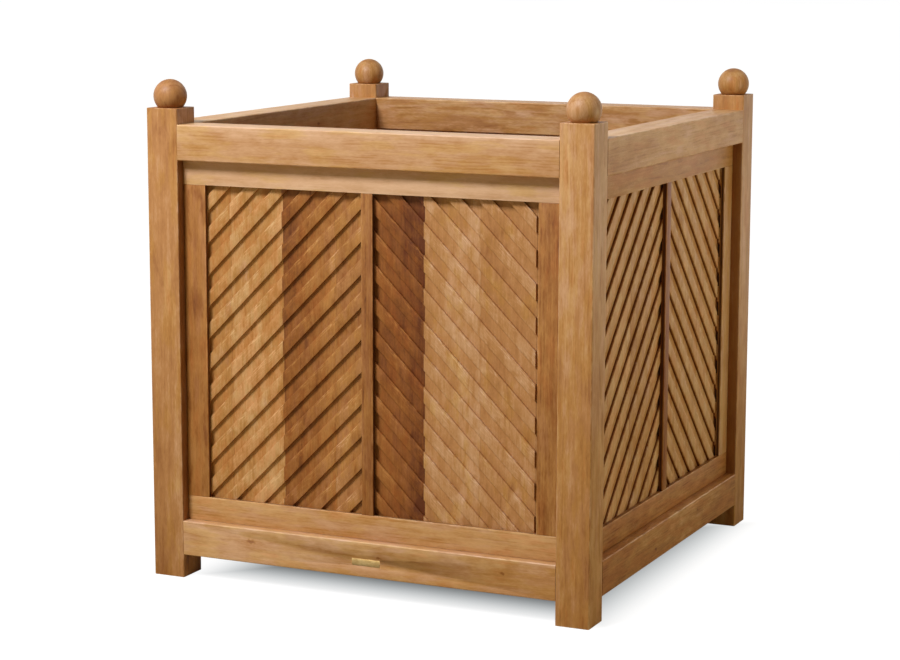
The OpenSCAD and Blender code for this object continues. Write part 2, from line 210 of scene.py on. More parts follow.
class Graph:
    """Builds one node tree."""

    def __init__(self, tree: bpy.types.NodeTree) -> None:
        """Starts on an empty tree."""
        self.tree = tree

    def node(
        self,
        kind: str,
        settings: Optional[dict] = None,
        inputs: Optional[dict] = None,
        output: Union[int, str, None] = 0,
    ) -> Optional[Wire]:
        """Adds a node.

        Args:
            kind: The node's type.
            settings: Its properties, and "stops" for a ramp's places and colours.
            inputs: Values or wires by the input's name or number. A list feeds a joint input.
            output: The name or number of the output to return, or None for a node without one.

        Returns:
            The wire from that output.
        """
        made = self.tree.nodes.new(kind)
        for name, value in (settings or {}).items():
            if name != "stops":
                setattr(made, name, value)
                continue
            marks = made.color_ramp.elements
            while len(marks) < len(value):
                marks.new(1.0)
            for mark, (place, colour) in zip(marks, value):
                mark.position = place
                mark.color = (*colour, 1.0)
        for key, value in (inputs or {}).items():
            for single in value if isinstance(value, list) else [value]:
                self.feed(made.inputs[key], single)
        return None if output is None else Wire(self, made.outputs[output])

    def feed(self, socket: bpy.types.NodeSocket, value: Value) -> None:
        """Feeds an input.

        Args:
            socket: The input.
            value: A wire to link to it, or its value.
        """
        if isinstance(value, Wire):
            self.tree.links.new(value.socket, socket)
        else:
            socket.default_value = value

    def math(self, operation: str, *values: Value) -> Wire:
        """A Math node."""
        return self.node("ShaderNodeMath", {"operation": operation}, dict(enumerate(values)))

    def scaled(self, vector: Value, factor: Value) -> Wire:
        """A vector times a number."""
        inputs = {0: vector, "Scale": factor}
        return self.node("ShaderNodeVectorMath", {"operation": "SCALE"}, inputs)

    def vector(self, x: Value = 0.0, y: Value = 0.0, z: Value = 0.0) -> Wire:
        """A vector from three values."""
        return self.node("ShaderNodeCombineXYZ", None, {0: x, 1: y, 2: z})

    def split(self, vector: Wire) -> Place:
        """The three values of a vector."""
        first = self.node("ShaderNodeSeparateXYZ", None, {0: vector})
        return first, first.out("Y"), first.out("Z")

    def least(self, *values: Value) -> Wire:
        """The smallest of some values."""
        return reduce(partial(self.math, "MINIMUM"), values)

    def most(self, *values: Value) -> Wire:
        """The largest of some values."""
        return reduce(partial(self.math, "MAXIMUM"), values)

    def fade(self, value: Value, start: float, end: float) -> Wire:
        """A smooth step.

        Args:
            value: The value to look at.
            start: Where the step is 0.
            end: Where it is 1, which may lie below the start.

        Returns:
            A wire from 0 to 1.
        """
        low, high = min(start, end), max(start, end)
        flat = (0.0, 1.0) if start < end else (1.0, 0.0)
        return self.node(
            "ShaderNodeMapRange",
            {"interpolation_type": "SMOOTHSTEP"},
            {0: value, 1: low, 2: high, 3: flat[0], 4: flat[1]},
        )

    def noise(self, vector: Wire, detail: float = 2.0, roughness: float = 0.5) -> Wire:
        """Noise with features of about one unit of the vector."""
        inputs = {"Vector": vector, "Scale": 1.0, "Detail": detail, "Roughness": roughness}
        return self.node("ShaderNodeTexNoise", {"noise_dimensions": "3D"}, inputs)

    def mix(self, base: Value, other: Value, factor: Value, blend: str = "MIX") -> Wire:
        """Mixes two colours.

        Args:
            base: The colour where the factor is 0.
            other: The other colour.
            factor: How much of the other colour there is, from 0 to 1.
            blend: The way of mixing.

        Returns:
            The mixed colour.
        """
        a, b = (value if isinstance(value, Wire) else (*value, 1.0) for value in (base, other))
        settings = {"data_type": "RGBA", "blend_type": blend, "clamp_factor": True}
        return self.node("ShaderNodeMix", settings, {0: factor, 6: a, 7: b}, output=2)


# Finishes ------------------------------------------------------------------------------------


class Surface(Graph):
    """A material's node tree with one Principled shader."""

    def __init__(self, name: str, **constants: Value) -> None:
        """Makes a new material.

        Args:
            name: The material's name.
            constants: Values of the shader that are the same all over it.
        """
        self.name = name
        self.material = bpy.data.materials.new(name)
        self.material.use_nodes = True
        super().__init__(self.material.node_tree)
        self.shader = self.tree.nodes["Principled BSDF"]
        for socket, value in constants.items():
            self.shader.inputs[socket.replace("_", " ")].default_value = value

    def place(self) -> Wire:
        """The place on the piece, in the row frame, in metres."""
        return self.node("ShaderNodeTexCoord", output="Object")

    def facing(self) -> Wire:
        """The surface's normal before any bump."""
        return self.node("ShaderNodeTexCoord", output="Normal")

    def attribute(self, name: str) -> Wire:
        """A number that the mesh carries."""
        return self.node("ShaderNodeAttribute", {"attribute_name": name}, output="Fac")

    def mottle(self, sizes: tuple[float, float, float], detail: float) -> Wire:
        """Noise with features of three sizes, in millimetres, along the axes."""
        parts = (part / MM / size for part, size in zip(self.split(self.place()), sizes))
        return self.noise(self.vector(*parts), detail)

    def finish(
        self, colour: Wire, roughness: Wire, relief: Optional[Wire] = None, depth: float = 0.0
    ) -> None:
        """Feeds the shader.

        Args:
            colour: The surface's colour.
            roughness: Its roughness.
            relief: Its relief, about 0 to 1.
            depth: How far 1 stands out, in metres.
        """
        self.feed(self.shader.inputs["Base Color"], colour)
        self.feed(self.shader.inputs["Roughness"], roughness)
        if relief is not None:
            inputs = {"Strength": 1.0, "Distance": depth, "Height": relief}
            self.feed(self.shader.inputs["Normal"], self.node("ShaderNodeBump", None, inputs))


@dataclass(frozen=True)
class Layer:
    """One layer of noise in the wood, stretched along the grain.

    along and across are the sizes of its features, in millimetres. dark is how much it darkens
    the wood, and relief how far it raises it.
    """

    along: float
    across: float
    detail: float = 2.0
    roughness: float = 0.5
    shift: float = 0.0
    dark: float = 0.0
    relief: float = 0.0


@dataclass(frozen=True)
class Teak:
    """Oiled teak: growth rings about a pith outside the piece, streaks, pores and drift.

    Lengths in the log are in millimetres.
    """

    pale: Colour = srgb(230, 188, 142)
    honey: Colour = srgb(189, 135, 77)
    brown: Colour = srgb(150, 94, 44)
    heart: Colour = srgb(98, 50, 19)
    # Near-black for painted shade on the walls of recesses.
    stain: Colour = srgb(54, 24, 8)
    # Dark brown for painted shade on a post's inner faces and on the walls of the leaves'
    # channels.
    umber: Colour = srgb(104, 52, 14)
    orange: Colour = (1.00, 0.92, 0.80)
    straw: Colour = (0.99, 1.02, 0.93)
    rosy: Colour = (1.0, 1.03, 1.20)
    rust: Colour = (1.03, 0.86, 0.74)
    log: float = 4000.0
    reach: Span = (70.0, 150.0)
    sway: float = 26.0
    ring: float = 4.2
    late: Span = (0.25, 0.85)
    late_end: Span = (1.0, 0.88)
    late_patches: Span = (0.42, 0.62)
    late_dark: float = 0.16
    late_relief: float = -0.15
    darkness: float = 0.42
    drift: Layer = Layer(330, 60, dark=0.40)
    fine: Layer = Layer(60, 2.6, 2.0, 0.6, dark=0.20, relief=0.30)
    wide: Layer = Layer(150, 9, 3.0, 0.72, dark=0.34)
    blotch: Layer = Layer(42, 15, 3.0, 0.6, 30.0, dark=0.34)
    fleck: Layer = Layer(7, 1.3, 1.0, dark=0.16, relief=0.20)
    pore: Layer = Layer(9, 0.55, 1.0, dark=0.05, relief=-0.35)
    pores: Span = (0.60, 0.70)
    hue: Layer = Layer(70, 14, 3.0, 0.55, 70.0)
    straw_hue: Span = (0.34, 0.50)
    rosy_hue: Span = (0.50, 0.66)
    honey_at: float = 0.38
    brown_at: float = 0.72
    wander: Layer = Layer(25, 12)
    patches: Layer = Layer(20, 6, 3.0)
    roughness: float = 0.42
    dark_rough: float = 0.10


class TeakSurface(Surface):
    """A teak finish: the wood's figure and colours over a piece."""

    def __init__(self, name: str, teak: Teak, gloss: float) -> None:
        """Starts the finish.

        Args:
            name: The material's name.
            teak: The wood.
            gloss: The oil's specular level.
        """
        super().__init__(name, Specular_IOR_Level=gloss)
        self.teak = teak
        self.at = self.split(self.place())
        self.normal = self.split(self.facing())

    def layer(self, place: Place, layer: Layer) -> Wire:
        """A layer of noise, at a place along the grain and across it."""
        a, b, c = (part / size for part, size in zip(place, (layer.along, *[layer.across] * 2)))
        return self.noise(self.vector(a, b, c + layer.shift), layer.detail, layer.roughness)

    def figure(
        self, place: Place, contrast: float, pith: tuple[Value, Value]
    ) -> tuple[Wire, Wire, Wire]:
        """The figure of the wood.

        Args:
            place: The place in the log along the grain and across it.
            contrast: How strong the figure is.
            pith: The place of the pith across the grain.

        Returns:
            How dark the wood is, its hue and its relief, each about 0 to 1.
        """
        teak = self.teak
        sway_b, sway_c, drift = self.split(self.layer(place, teak.drift).out("Color"))
        off_b = place[1] - pith[0] + (sway_b - 0.5) * teak.sway
        off_c = place[2] - pith[1] + (sway_c - 0.5) * teak.sway
        rings = (off_b * off_b + off_c * off_c) ** 0.5 / teak.ring
        phase = rings % 1.0
        strength = self.node(
            "ShaderNodeTexWhiteNoise", {"noise_dimensions": "1D"}, {"W": math.floor(rings)}
        )
        late = self.fade(phase, *teak.late) * self.fade(phase, *teak.late_end) * strength
        fine, wide, blotch, fleck, pore, hue = (
            self.layer(place, layer)
            for layer in (teak.fine, teak.wide, teak.blotch, teak.fleck, teak.pore, teak.hue)
        )
        pores = self.fade(pore, *teak.pores)
        dark = (
            teak.late_dark * late * self.fade(blotch, *teak.late_patches)
            + teak.fine.dark * (fine - 0.5)
            + teak.wide.dark * (wide - 0.5)
            + teak.blotch.dark * (blotch - 0.5)
            + teak.drift.dark * (drift - 0.5)
            + teak.fleck.dark * (fleck - 0.5)
            + teak.pore.dark * pores
        )
        relief = (
            0.5
            + teak.fine.relief * (fine - 0.5)
            + teak.fleck.relief * (fleck - 0.5)
            + teak.pore.relief * pores
            + teak.late_relief * late
        )
        return teak.darkness + contrast * dark, hue, relief

    def colour(self, dark: Wire, hue: Wire, rust: Value) -> Wire:
        """The wood's colour.

        Args:
            dark: How dark it is, about 0 to 1.
            hue: Where it lies between orange, 0, straw and rosy, 1.
            rust: How far it goes to the red, from 0 to 1.

        Returns:
            The colour.
        """
        teak = self.teak
        stops = [
            (0.0, teak.pale),
            (teak.honey_at, teak.honey),
            (teak.brown_at, teak.brown),
            (1.0, teak.heart),
        ]
        plain = self.node("ShaderNodeValToRGB", {"stops": stops}, {0: dark})
        warm = self.mix(teak.orange, teak.straw, self.fade(hue, *teak.straw_hue))
        tint = self.mix(warm, teak.rosy, self.fade(hue, *teak.rosy_hue))
        tinted = self.mix(plain, tint, 1.0, "MULTIPLY")
        return self.mix(tinted, teak.rust, rust, "MULTIPLY")


@dataclass(frozen=True)
class Plane:
    """A plane across one axis."""

    axis: int
    place: float
    tolerance: float = 0.01 * MM

    def holds(self, edge: bmesh.types.BMEdge) -> bool:
        """Whether an edge lies in the plane."""
        return all(abs(vert.co[self.axis] - self.place) < self.tolerance for vert in edge.verts)


@dataclass(frozen=True)
class Tone:
    """How far a piece's colour lies from the middle of the log.

    light is how much paler it is, rust how far it goes to the red and rosy how far to the pink.
    lean is how much paler a board's right edge is than its left, or the far end of another piece
    than its near end. A rail's upper half may be paler by a given amount. A post's faces to the
    left and right may be paler than its front and back: painted light on the side faces, partly
    their own grain.
    """

    light: float = 0.0
    rust: float = 0.15
    contrast: float = 1.0
    rosy: float = 0.0
    lean: float = 0.0
    sap: float = 0.0
    cheek: float = 0.0


@dataclass(frozen=True)
class Knot:
    """A small knot in a rail: its place along the rail and above the floor, and its radius."""

    along: float
    height: float
    radius: float


@dataclass(frozen=True)
class Cut:
    """How one piece was cut from the log, and what marks it.

    recess is the face that a recess lies behind, whose walls get painted shade, and pocket the
    heights between which a post's inner faces stand behind the panels and get painted shade. A
    post also darkens over a given height towards its foot.
    """

    name: str
    grain: Grain
    box: Box
    tone: Tone
    recess: Optional[Plane] = None
    pocket: Optional[Span] = None
    damp: float = 0.0
    knots: tuple[Knot, ...] = ()


class PlainTeak(TeakSurface):
    """The finish of one planed or turned piece."""

    GLOSS = 0.38
    RELIEF = 0.12 * MM
    END_TURNED: Span = (0.7, 0.9)
    END_DARK = 0.20
    END_ROUGH = 0.12
    WEAR_REACH = 2.4 * MM
    WEAR_PATCHES: Span = (0.40, 0.62)
    WEAR_PALE = 0.25
    WEAR_SMOOTH = 0.10
    DAMP_DARK = 0.04
    KNOT_LENGTH = 2.2
    KNOT_LUMP = 4 * MM
    KNOT_RAGGED = 1.6
    KNOT_DARK = 0.34
    KNOT_CORE = 0.3
    KNOT_RIM_DARK = 0.06
    KNOT_RIM = 3.5
    # Painted shade on recess walls: the depths where it starts and is full, its darkness, and how
    # much less an upward-facing ledge gets.
    CREVICE_DEPTH: Span = (1.2, 3.2)
    CREVICE_DARK = 0.9
    LEDGE_TURNED: Span = (0.3, 0.8)
    LEDGE_CLEAN = 0.5
    # Painted shade on a post's inner faces beside the panels: its darkness and the height over
    # which it fades in.
    POCKET_DARK = 0.5
    POCKET_SOFT = 2 * MM

    def __init__(self, cut: Cut, teak: Teak, edges: bool = True) -> None:
        """Builds the finish.

        Args:
            cut: The piece's cut.
            teak: The wood.
            edges: Whether the piece is a box with worn edges.
        """
        super().__init__(cut.name, teak, self.GLOSS)
        self.cut, self.run, tone = cut, cut.grain.value[0], cut.tone
        place, pith = self._in_log()
        dark, hue, relief = self.figure(place, tone.contrast, pith)
        end = self.fade(abs(self.normal[self.run]), *self.END_TURNED)
        shade = dark - tone.light + self.END_DARK * end
        for mark in self._marks(self.layer(place, teak.wander)):
            shade = shade + mark
        roughness = teak.roughness + teak.dark_rough * dark + self.END_ROUGH * end
        if edges:
            patches = self.fade(self.layer(place, teak.patches), *self.WEAR_PATCHES)
            wear = self._arrises() * patches
            shade = shade - self.WEAR_PALE * wear
            roughness = roughness - self.WEAR_SMOOTH * wear
        colour = self.colour(shade, hue + tone.rosy, tone.rust)
        # Painted shade darkens the walls of a recess.
        if cut.recess is not None:
            colour = self.mix(colour, teak.stain, self._crevice(cut.recess))
        # Painted shade darkens a post's inner faces beside the panels.
        if cut.pocket is not None:
            colour = self.mix(colour, teak.umber, self._inner_walls(*cut.pocket))
        self.finish(colour, roughness, relief, self.RELIEF)

    def _in_log(self) -> tuple[Place, Span]:
        """Finds the piece's own part of the log.

        Returns:
            The place in the log along the grain and across it, and the pith's place across it.
        """
        (low, high), axes, log = self.cut.box, self.cut.grain.value, self.teak.log
        dice = random.Random(self.name)
        shifts = [dice.uniform(-log, log) for _ in axes]
        place = tuple(self.at[axis] / MM + shift for axis, shift in zip(axes, shifts))
        middle = [(low[axis] + high[axis]) / 2 / MM + shift for axis, shift in zip(axes, shifts)]
        angle, reach = dice.uniform(0, 2 * math.pi), dice.uniform(*self.teak.reach)
        return place, (middle[1] + reach * math.cos(angle), middle[2] + reach * math.sin(angle))

    def _marks(self, wander: Wire) -> list[Wire]:
        """What sets parts of the piece apart.

        Args:
            wander: Noise that makes a mark's edge wander.

        Returns:
            How much each mark darkens the wood.
        """
        (low, high), tone, damp = self.cut.box, self.cut.tone, self.cut.damp
        height, run = self.at[2], self.run
        marks = [self._knot(knot) for knot in self.cut.knots]
        if tone.lean:
            middle, length = (low[run] + high[run]) / 2, high[run] - low[run]
            marks.append(-tone.lean * (self.at[run] - middle) / length)
        # Paler over the upper half of the piece.
        if tone.sap:
            wavy = height + (wander - 0.5) * (high.z - low.z)
            marks.append(-tone.sap * self.fade(wavy, (low.z + high.z) / 2, high.z))
        # Painted light: a post's faces to the left and right are paler, partly their own grain.
        if tone.cheek:
            marks.append(-tone.cheek * self.fade(abs(self.normal[0]), *TURNED))
        # Darker towards the foot.
        if damp:
            wavy = height + (wander - 0.5) * damp
            marks.append(self.DAMP_DARK * self.fade(wavy, damp, 0.0))
        return marks

    def _knot(self, knot: Knot) -> Wire:
        """A knot, drawn out along the grain.

        Args:
            knot: The knot.

        Returns:
            How much it darkens the wood.
        """
        ragged = self.noise(self.scaled(self.place(), 1 / self.KNOT_LUMP), 2.0)
        along = (self.at[self.run] - knot.along) / self.KNOT_LENGTH
        up = self.at[2] - knot.height
        reach = (along * along + up * up) ** 0.5 / knot.radius + (ragged - 0.5) * self.KNOT_RAGGED
        rim = self.KNOT_RIM_DARK * self.fade(reach, self.KNOT_RIM, 1.0)
        return self.KNOT_DARK * self.fade(reach, 1.0, self.KNOT_CORE) + rim

    def _arrises(self) -> Wire:
        """Where a box-shaped piece has its edges.

        Returns:
            1 on an edge and 0 away from it.
        """
        near = [
            self.least(abs(part - low), abs(part - high))
            for part, low, high in zip(self.at, *self.cut.box)
        ]
        middle = near[0] + near[1] + near[2] - self.least(*near) - self.most(*near)
        return self.fade(middle, self.WEAR_REACH, 0.0)

    def _crevice(self, recess: Plane) -> Wire:
        """Painted shade that darkens the walls of a recess towards near-black, where shade falls.

        Args:
            recess: The face that the recess lies behind.

        Returns:
            How much painted shade they get: most on the deep part, less on an upward-facing ledge,
                which light reaches, and 0 elsewhere.
        """
        depth = abs(self.at[recess.axis] - recess.place) / MM
        turned = self.fade(abs(self.normal[recess.axis]), *TURNED[::-1])
        ledge = self.fade(self.normal[2], *self.LEDGE_TURNED)
        painted_shade = self.CREVICE_DARK - self.LEDGE_CLEAN * ledge
        return painted_shade * self.fade(depth, *self.CREVICE_DEPTH) * turned

    def _inner_walls(self, low: float, high: float) -> Wire:
        """Painted shade that darkens a post's inner faces beside the panels, where shade falls.

        Args:
            low: The top of the bottom rail.
            high: The underside of the top rail.

        Returns:
            How much painted shade they get between the rails, and 0 elsewhere.
        """
        away = [math.copysign(1.0, self.cut.box[0][axis]) for axis in (0, 1)]
        inner = self.most(self.normal[0] * -away[0], self.normal[1] * -away[1])
        height, soft = self.at[2], self.POCKET_SOFT
        between = self.fade(height, low, low + soft) * self.fade(height, high, high - soft)
        return self.POCKET_DARK * self.fade(inner, *TURNED) * between


class MilledTeak(TeakSurface):
    """The finish of one leaf, which knows its strips and channels."""

    GLOSS = 0.3
    RELIEF = 0.16 * MM
    STRETCH = 1.8
    BOARD_SHIFT = 613.0
    FLATTEN = 0.15
    PITH = 110.0
    PITH_SPREAD = 60.0
    PITH_TURN = 2.7
    SUNK: Span = (1.5, 3.8)
    SUNK_DARK = 0.05
    SUNK_ROUGH = 0.10
    SUNK_WHOLE = 0.6
    # Painted shade on the walls of the channels: which faces count as walls, and the depths where
    # it starts and is full.
    WALL_TURNED: Span = (0.75, 0.35)
    BURNT: Span = (0.6, 3.0)
    TORN_PALE = 0.32
    TORN_AWAY = 0.3
    # A painted highlight along the strips' upper edges: where it starts and ends across the strip.
    TORN_EDGE: Span = (8.0, 0.5)
    TORN_END = 0.8
    STROKE: Span = (13.0, 1.2)
    STROKES: Span = (0.48, 0.64)
    PATCH: Span = (40.0, 25.0)
    PATCHES: Span = (0.36, 0.60)
    PATCH_SHIFT = 9.0

    def __init__(self, leaves: "Leaves", name: str, side: Side, half: Half, face: float) -> None:
        """Builds the finish.

        Args:
            leaves: The leaves' sizes.
            name: The leaf's name.
            side: The leaf's side.
            half: Its half.
            face: The place of its face across the side.
        """
        super().__init__(name, leaves.teak, self.GLOSS)
        self.leaves, self.side, self.half, teak = leaves, side, half, leaves.teak
        self.own = random.Random(name).uniform(0, teak.log)
        x, y, z = self.at
        cos, sin = round(math.cos(side.turn)), round(math.sin(side.turn))
        along, inward = x * cos + y * sin, y * cos - x * sin
        seed, light, rust, rosy, lean, middle = map(
            self.attribute, ("seed", "light", "rust", "rosy", "lean", "middle")
        )
        a = z / MM * self.STRETCH + seed * self.BOARD_SHIFT + self.own
        b = along / MM
        c = inward / MM * self.FLATTEN
        spin = self.math("SINE", seed * self.PITH_TURN) * self.PITH_SPREAD
        pith = (middle + spin, face / MM + self.PITH + spin)
        dark, hue, relief = self.figure((a, b, c), 1.0, pith)
        depth = (inward - face) / MM
        sunk = self.fade(depth, *self.SUNK)
        # Pale lifted fibres, with a painted highlight along the strips' upper edges.
        fibres_and_highlight = self._torn(along, z) * (1 - self.SUNK_WHOLE * sunk)
        across = (b - middle) / (leaves.board / MM)
        shade = dark - light - lean * across + self.SUNK_DARK * sunk - self.TORN_PALE * fibres_and_highlight
        nx, ny, _ = self.normal
        # Painted shade darkens the deep part of the channels' walls, by how each side's walls are
        # lit.
        turned = self.fade(abs(ny * cos - nx * sin), *self.WALL_TURNED)
        burnt = leaves.burnt(side, half) * turned * self.fade(depth, *self.BURNT)
        wood = self.mix(self.colour(shade, hue + rosy, rust), teak.umber, burnt)
        roughness = teak.roughness + teak.dark_rough * dark + self.SUNK_ROUGH * sunk
        self.finish(wood, roughness, relief, self.RELIEF)

    def _torn(self, along: Wire, z: Wire) -> Wire:
        """Where the cutter has lifted pale fibres, with a painted highlight along a strip's upper
        edge.

        Args:
            along: The place along the side.
            z: The height.

        Returns:
            1 where the fibres are torn and 0 elsewhere.
        """
        leaves, slope, diagonal = self.leaves, self.half.slope, MM * math.sqrt(2)
        rise = z - along * slope
        across = (rise - leaves.start(self.side, self.half)) % leaves.pitch / diagonal
        width = leaves.strip / MM
        edge = self.fade(across, *(width - reach for reach in self.TORN_EDGE))
        edge = edge * self.fade(across, width + self.TORN_END, width)
        slanted = ((along + z * slope) / diagonal, rise / diagonal)
        stroke = (part / size for part, size in zip(slanted, self.STROKE))
        strokes = self.noise(self.vector(*stroke, self.own), 3.0, 0.6)
        patch = (part / size for part, size in zip(slanted, self.PATCH))
        patches = self.noise(self.vector(*patch, self.own + self.PATCH_SHIFT), 2.0)
        fibres_and_highlight = self.fade(strokes, *self.STROKES) * self.fade(patches, *self.PATCHES)
        return fibres_and_highlight * (self.TORN_AWAY + (1 - self.TORN_AWAY) * edge)


class Steel(Surface):
    """Bright stainless steel of screw heads."""

    COLOUR = srgb(190, 188, 184)
    SMEARED = srgb(130, 124, 116)
    SMEAR = (2.0, 2.0, 2.0)
    ROUGH = 0.22
    SMEAR_ROUGH = 0.25

    def __init__(self) -> None:
        """Builds the finish."""
        super().__init__("screw_steel", Metallic=1.0)
        smear = self.mottle(self.SMEAR, 3.0)
        colour = self.mix(self.COLOUR, self.SMEARED, smear)
        self.finish(colour, self.ROUGH + self.SMEAR_ROUGH * smear)


class Brass(Surface):
    """Brushed brass, dulled in patches."""

    COLOUR = srgb(236, 202, 136)
    DULL = srgb(214, 176, 110)
    BRUSH = (9.0, 1.0, 0.12)
    PATCH = (6.0, 1.0, 4.0)
    DULLED: Span = (0.35, 0.75)
    ROUGH = 0.40
    BRUSH_ROUGH = 0.14
    DULL_ROUGH = 0.10
    RELIEF = 0.015 * MM

    def __init__(self) -> None:
        """Builds the finish."""
        super().__init__("plate_brass", Metallic=1.0)
        brushed = self.mottle(self.BRUSH, 2.0)
        patch = self.mottle(self.PATCH, 3.0)
        colour = self.mix(self.COLOUR, self.DULL, self.fade(patch, *self.DULLED))
        roughness = self.ROUGH + self.BRUSH_ROUGH * brushed + self.DULL_ROUGH * patch
        self.finish(colour, roughness, brushed, self.RELIEF)


# Meshes --------------------------------------------------------------------------------------


def add_piece(piece: bpy.types.Object, node: str, crease: float = 50.0) -> None:
    """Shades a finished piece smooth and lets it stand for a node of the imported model.

    Args:
        piece: The finished object.
        node: The node that it stands for.
        crease: The least turn of an edge that stays sharp, in degrees.
    """
    piece.data.shade_smooth()
    piece.data.set_sharp_from_angle(angle=math.radians(crease))
    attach(piece, "root")
    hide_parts(node)
    LOG.info("%s: %d faces", piece.name, len(piece.data.polygons))


def linked(made: bpy.types.Object) -> bpy.types.Object:
    """Links a new object to the scene, and returns it."""
    bpy.context.scene.collection.objects.link(made)
    return made


def object_from(
    name: str, shape: bmesh.types.BMesh, material: bpy.types.Material
) -> bpy.types.Object:
    """Makes an object of a mesh that is in place, and frees the mesh.

    Args:
        name: The object's name.
        shape: The mesh.
        material: Its material.

    Returns:
        The object, at the origin.
    """
    data = bpy.data.meshes.new(name)
    shape.to_mesh(data)
    shape.free()
    data.materials.append(material)
    return linked(bpy.data.objects.new(name, data))


@dataclass(frozen=True)
class Easing:
    """Breaks the sharp edges round some faces of a solid, as a maker does with a block plane."""

    planes: tuple[Plane, ...] = ()
    radius: float = 0.7 * MM
    steps: int = 3
    least_length: float = 0.0
    least_turn: float = math.radians(60)
    flat: float = math.radians(0.5)

    def copy(self, node: str, name: str, material: bpy.types.Material) -> bpy.types.Object:
        """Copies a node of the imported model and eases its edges.

        Args:
            node: The node.
            name: The new object's name.
            material: Its material.

        Returns:
            The eased copy.
        """
        shape = bmesh.new()
        shape.from_mesh(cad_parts[node].data)
        bmesh.ops.remove_doubles(shape, verts=shape.verts, dist=WELD)
        bmesh.ops.dissolve_limit(
            shape, angle_limit=self.flat, verts=shape.verts, edges=shape.edges
        )
        sharp = [edge for edge in shape.edges if self._is_eased(edge)]
        if sharp:
            bmesh.ops.bevel(
                shape, geom=sharp, offset=self.radius, segments=self.steps, profile=0.5,
                affect="EDGES", clamp_overlap=True,
            )
        return object_from(name, shape, material)

    def _is_eased(self, edge: bmesh.types.BMEdge) -> bool:
        """Whether an edge is an outer one and borders one of the faces."""
        return (
            edge.is_manifold
            and edge.is_convex
            and edge.calc_length() > self.least_length
            and edge.calc_face_angle() > self.least_turn
            and any(plane.holds(edge) for plane in self.planes)
        )


def joined(parts: list[bpy.types.Object], name: str) -> bpy.types.Object:
    """Joins mesh objects that are at the origin into one.

    Args:
        parts: The objects.
        name: The new name.

    Returns:
        The first of them, which now holds all.
    """
    with bpy.context.temp_override(
        active_object=parts[0], selected_objects=parts, selected_editable_objects=parts
    ):
        bpy.ops.object.join()
    parts[0].name = parts[0].data.name = name
    return parts[0]


# Geometry Nodes ------------------------------------------------------------------------------


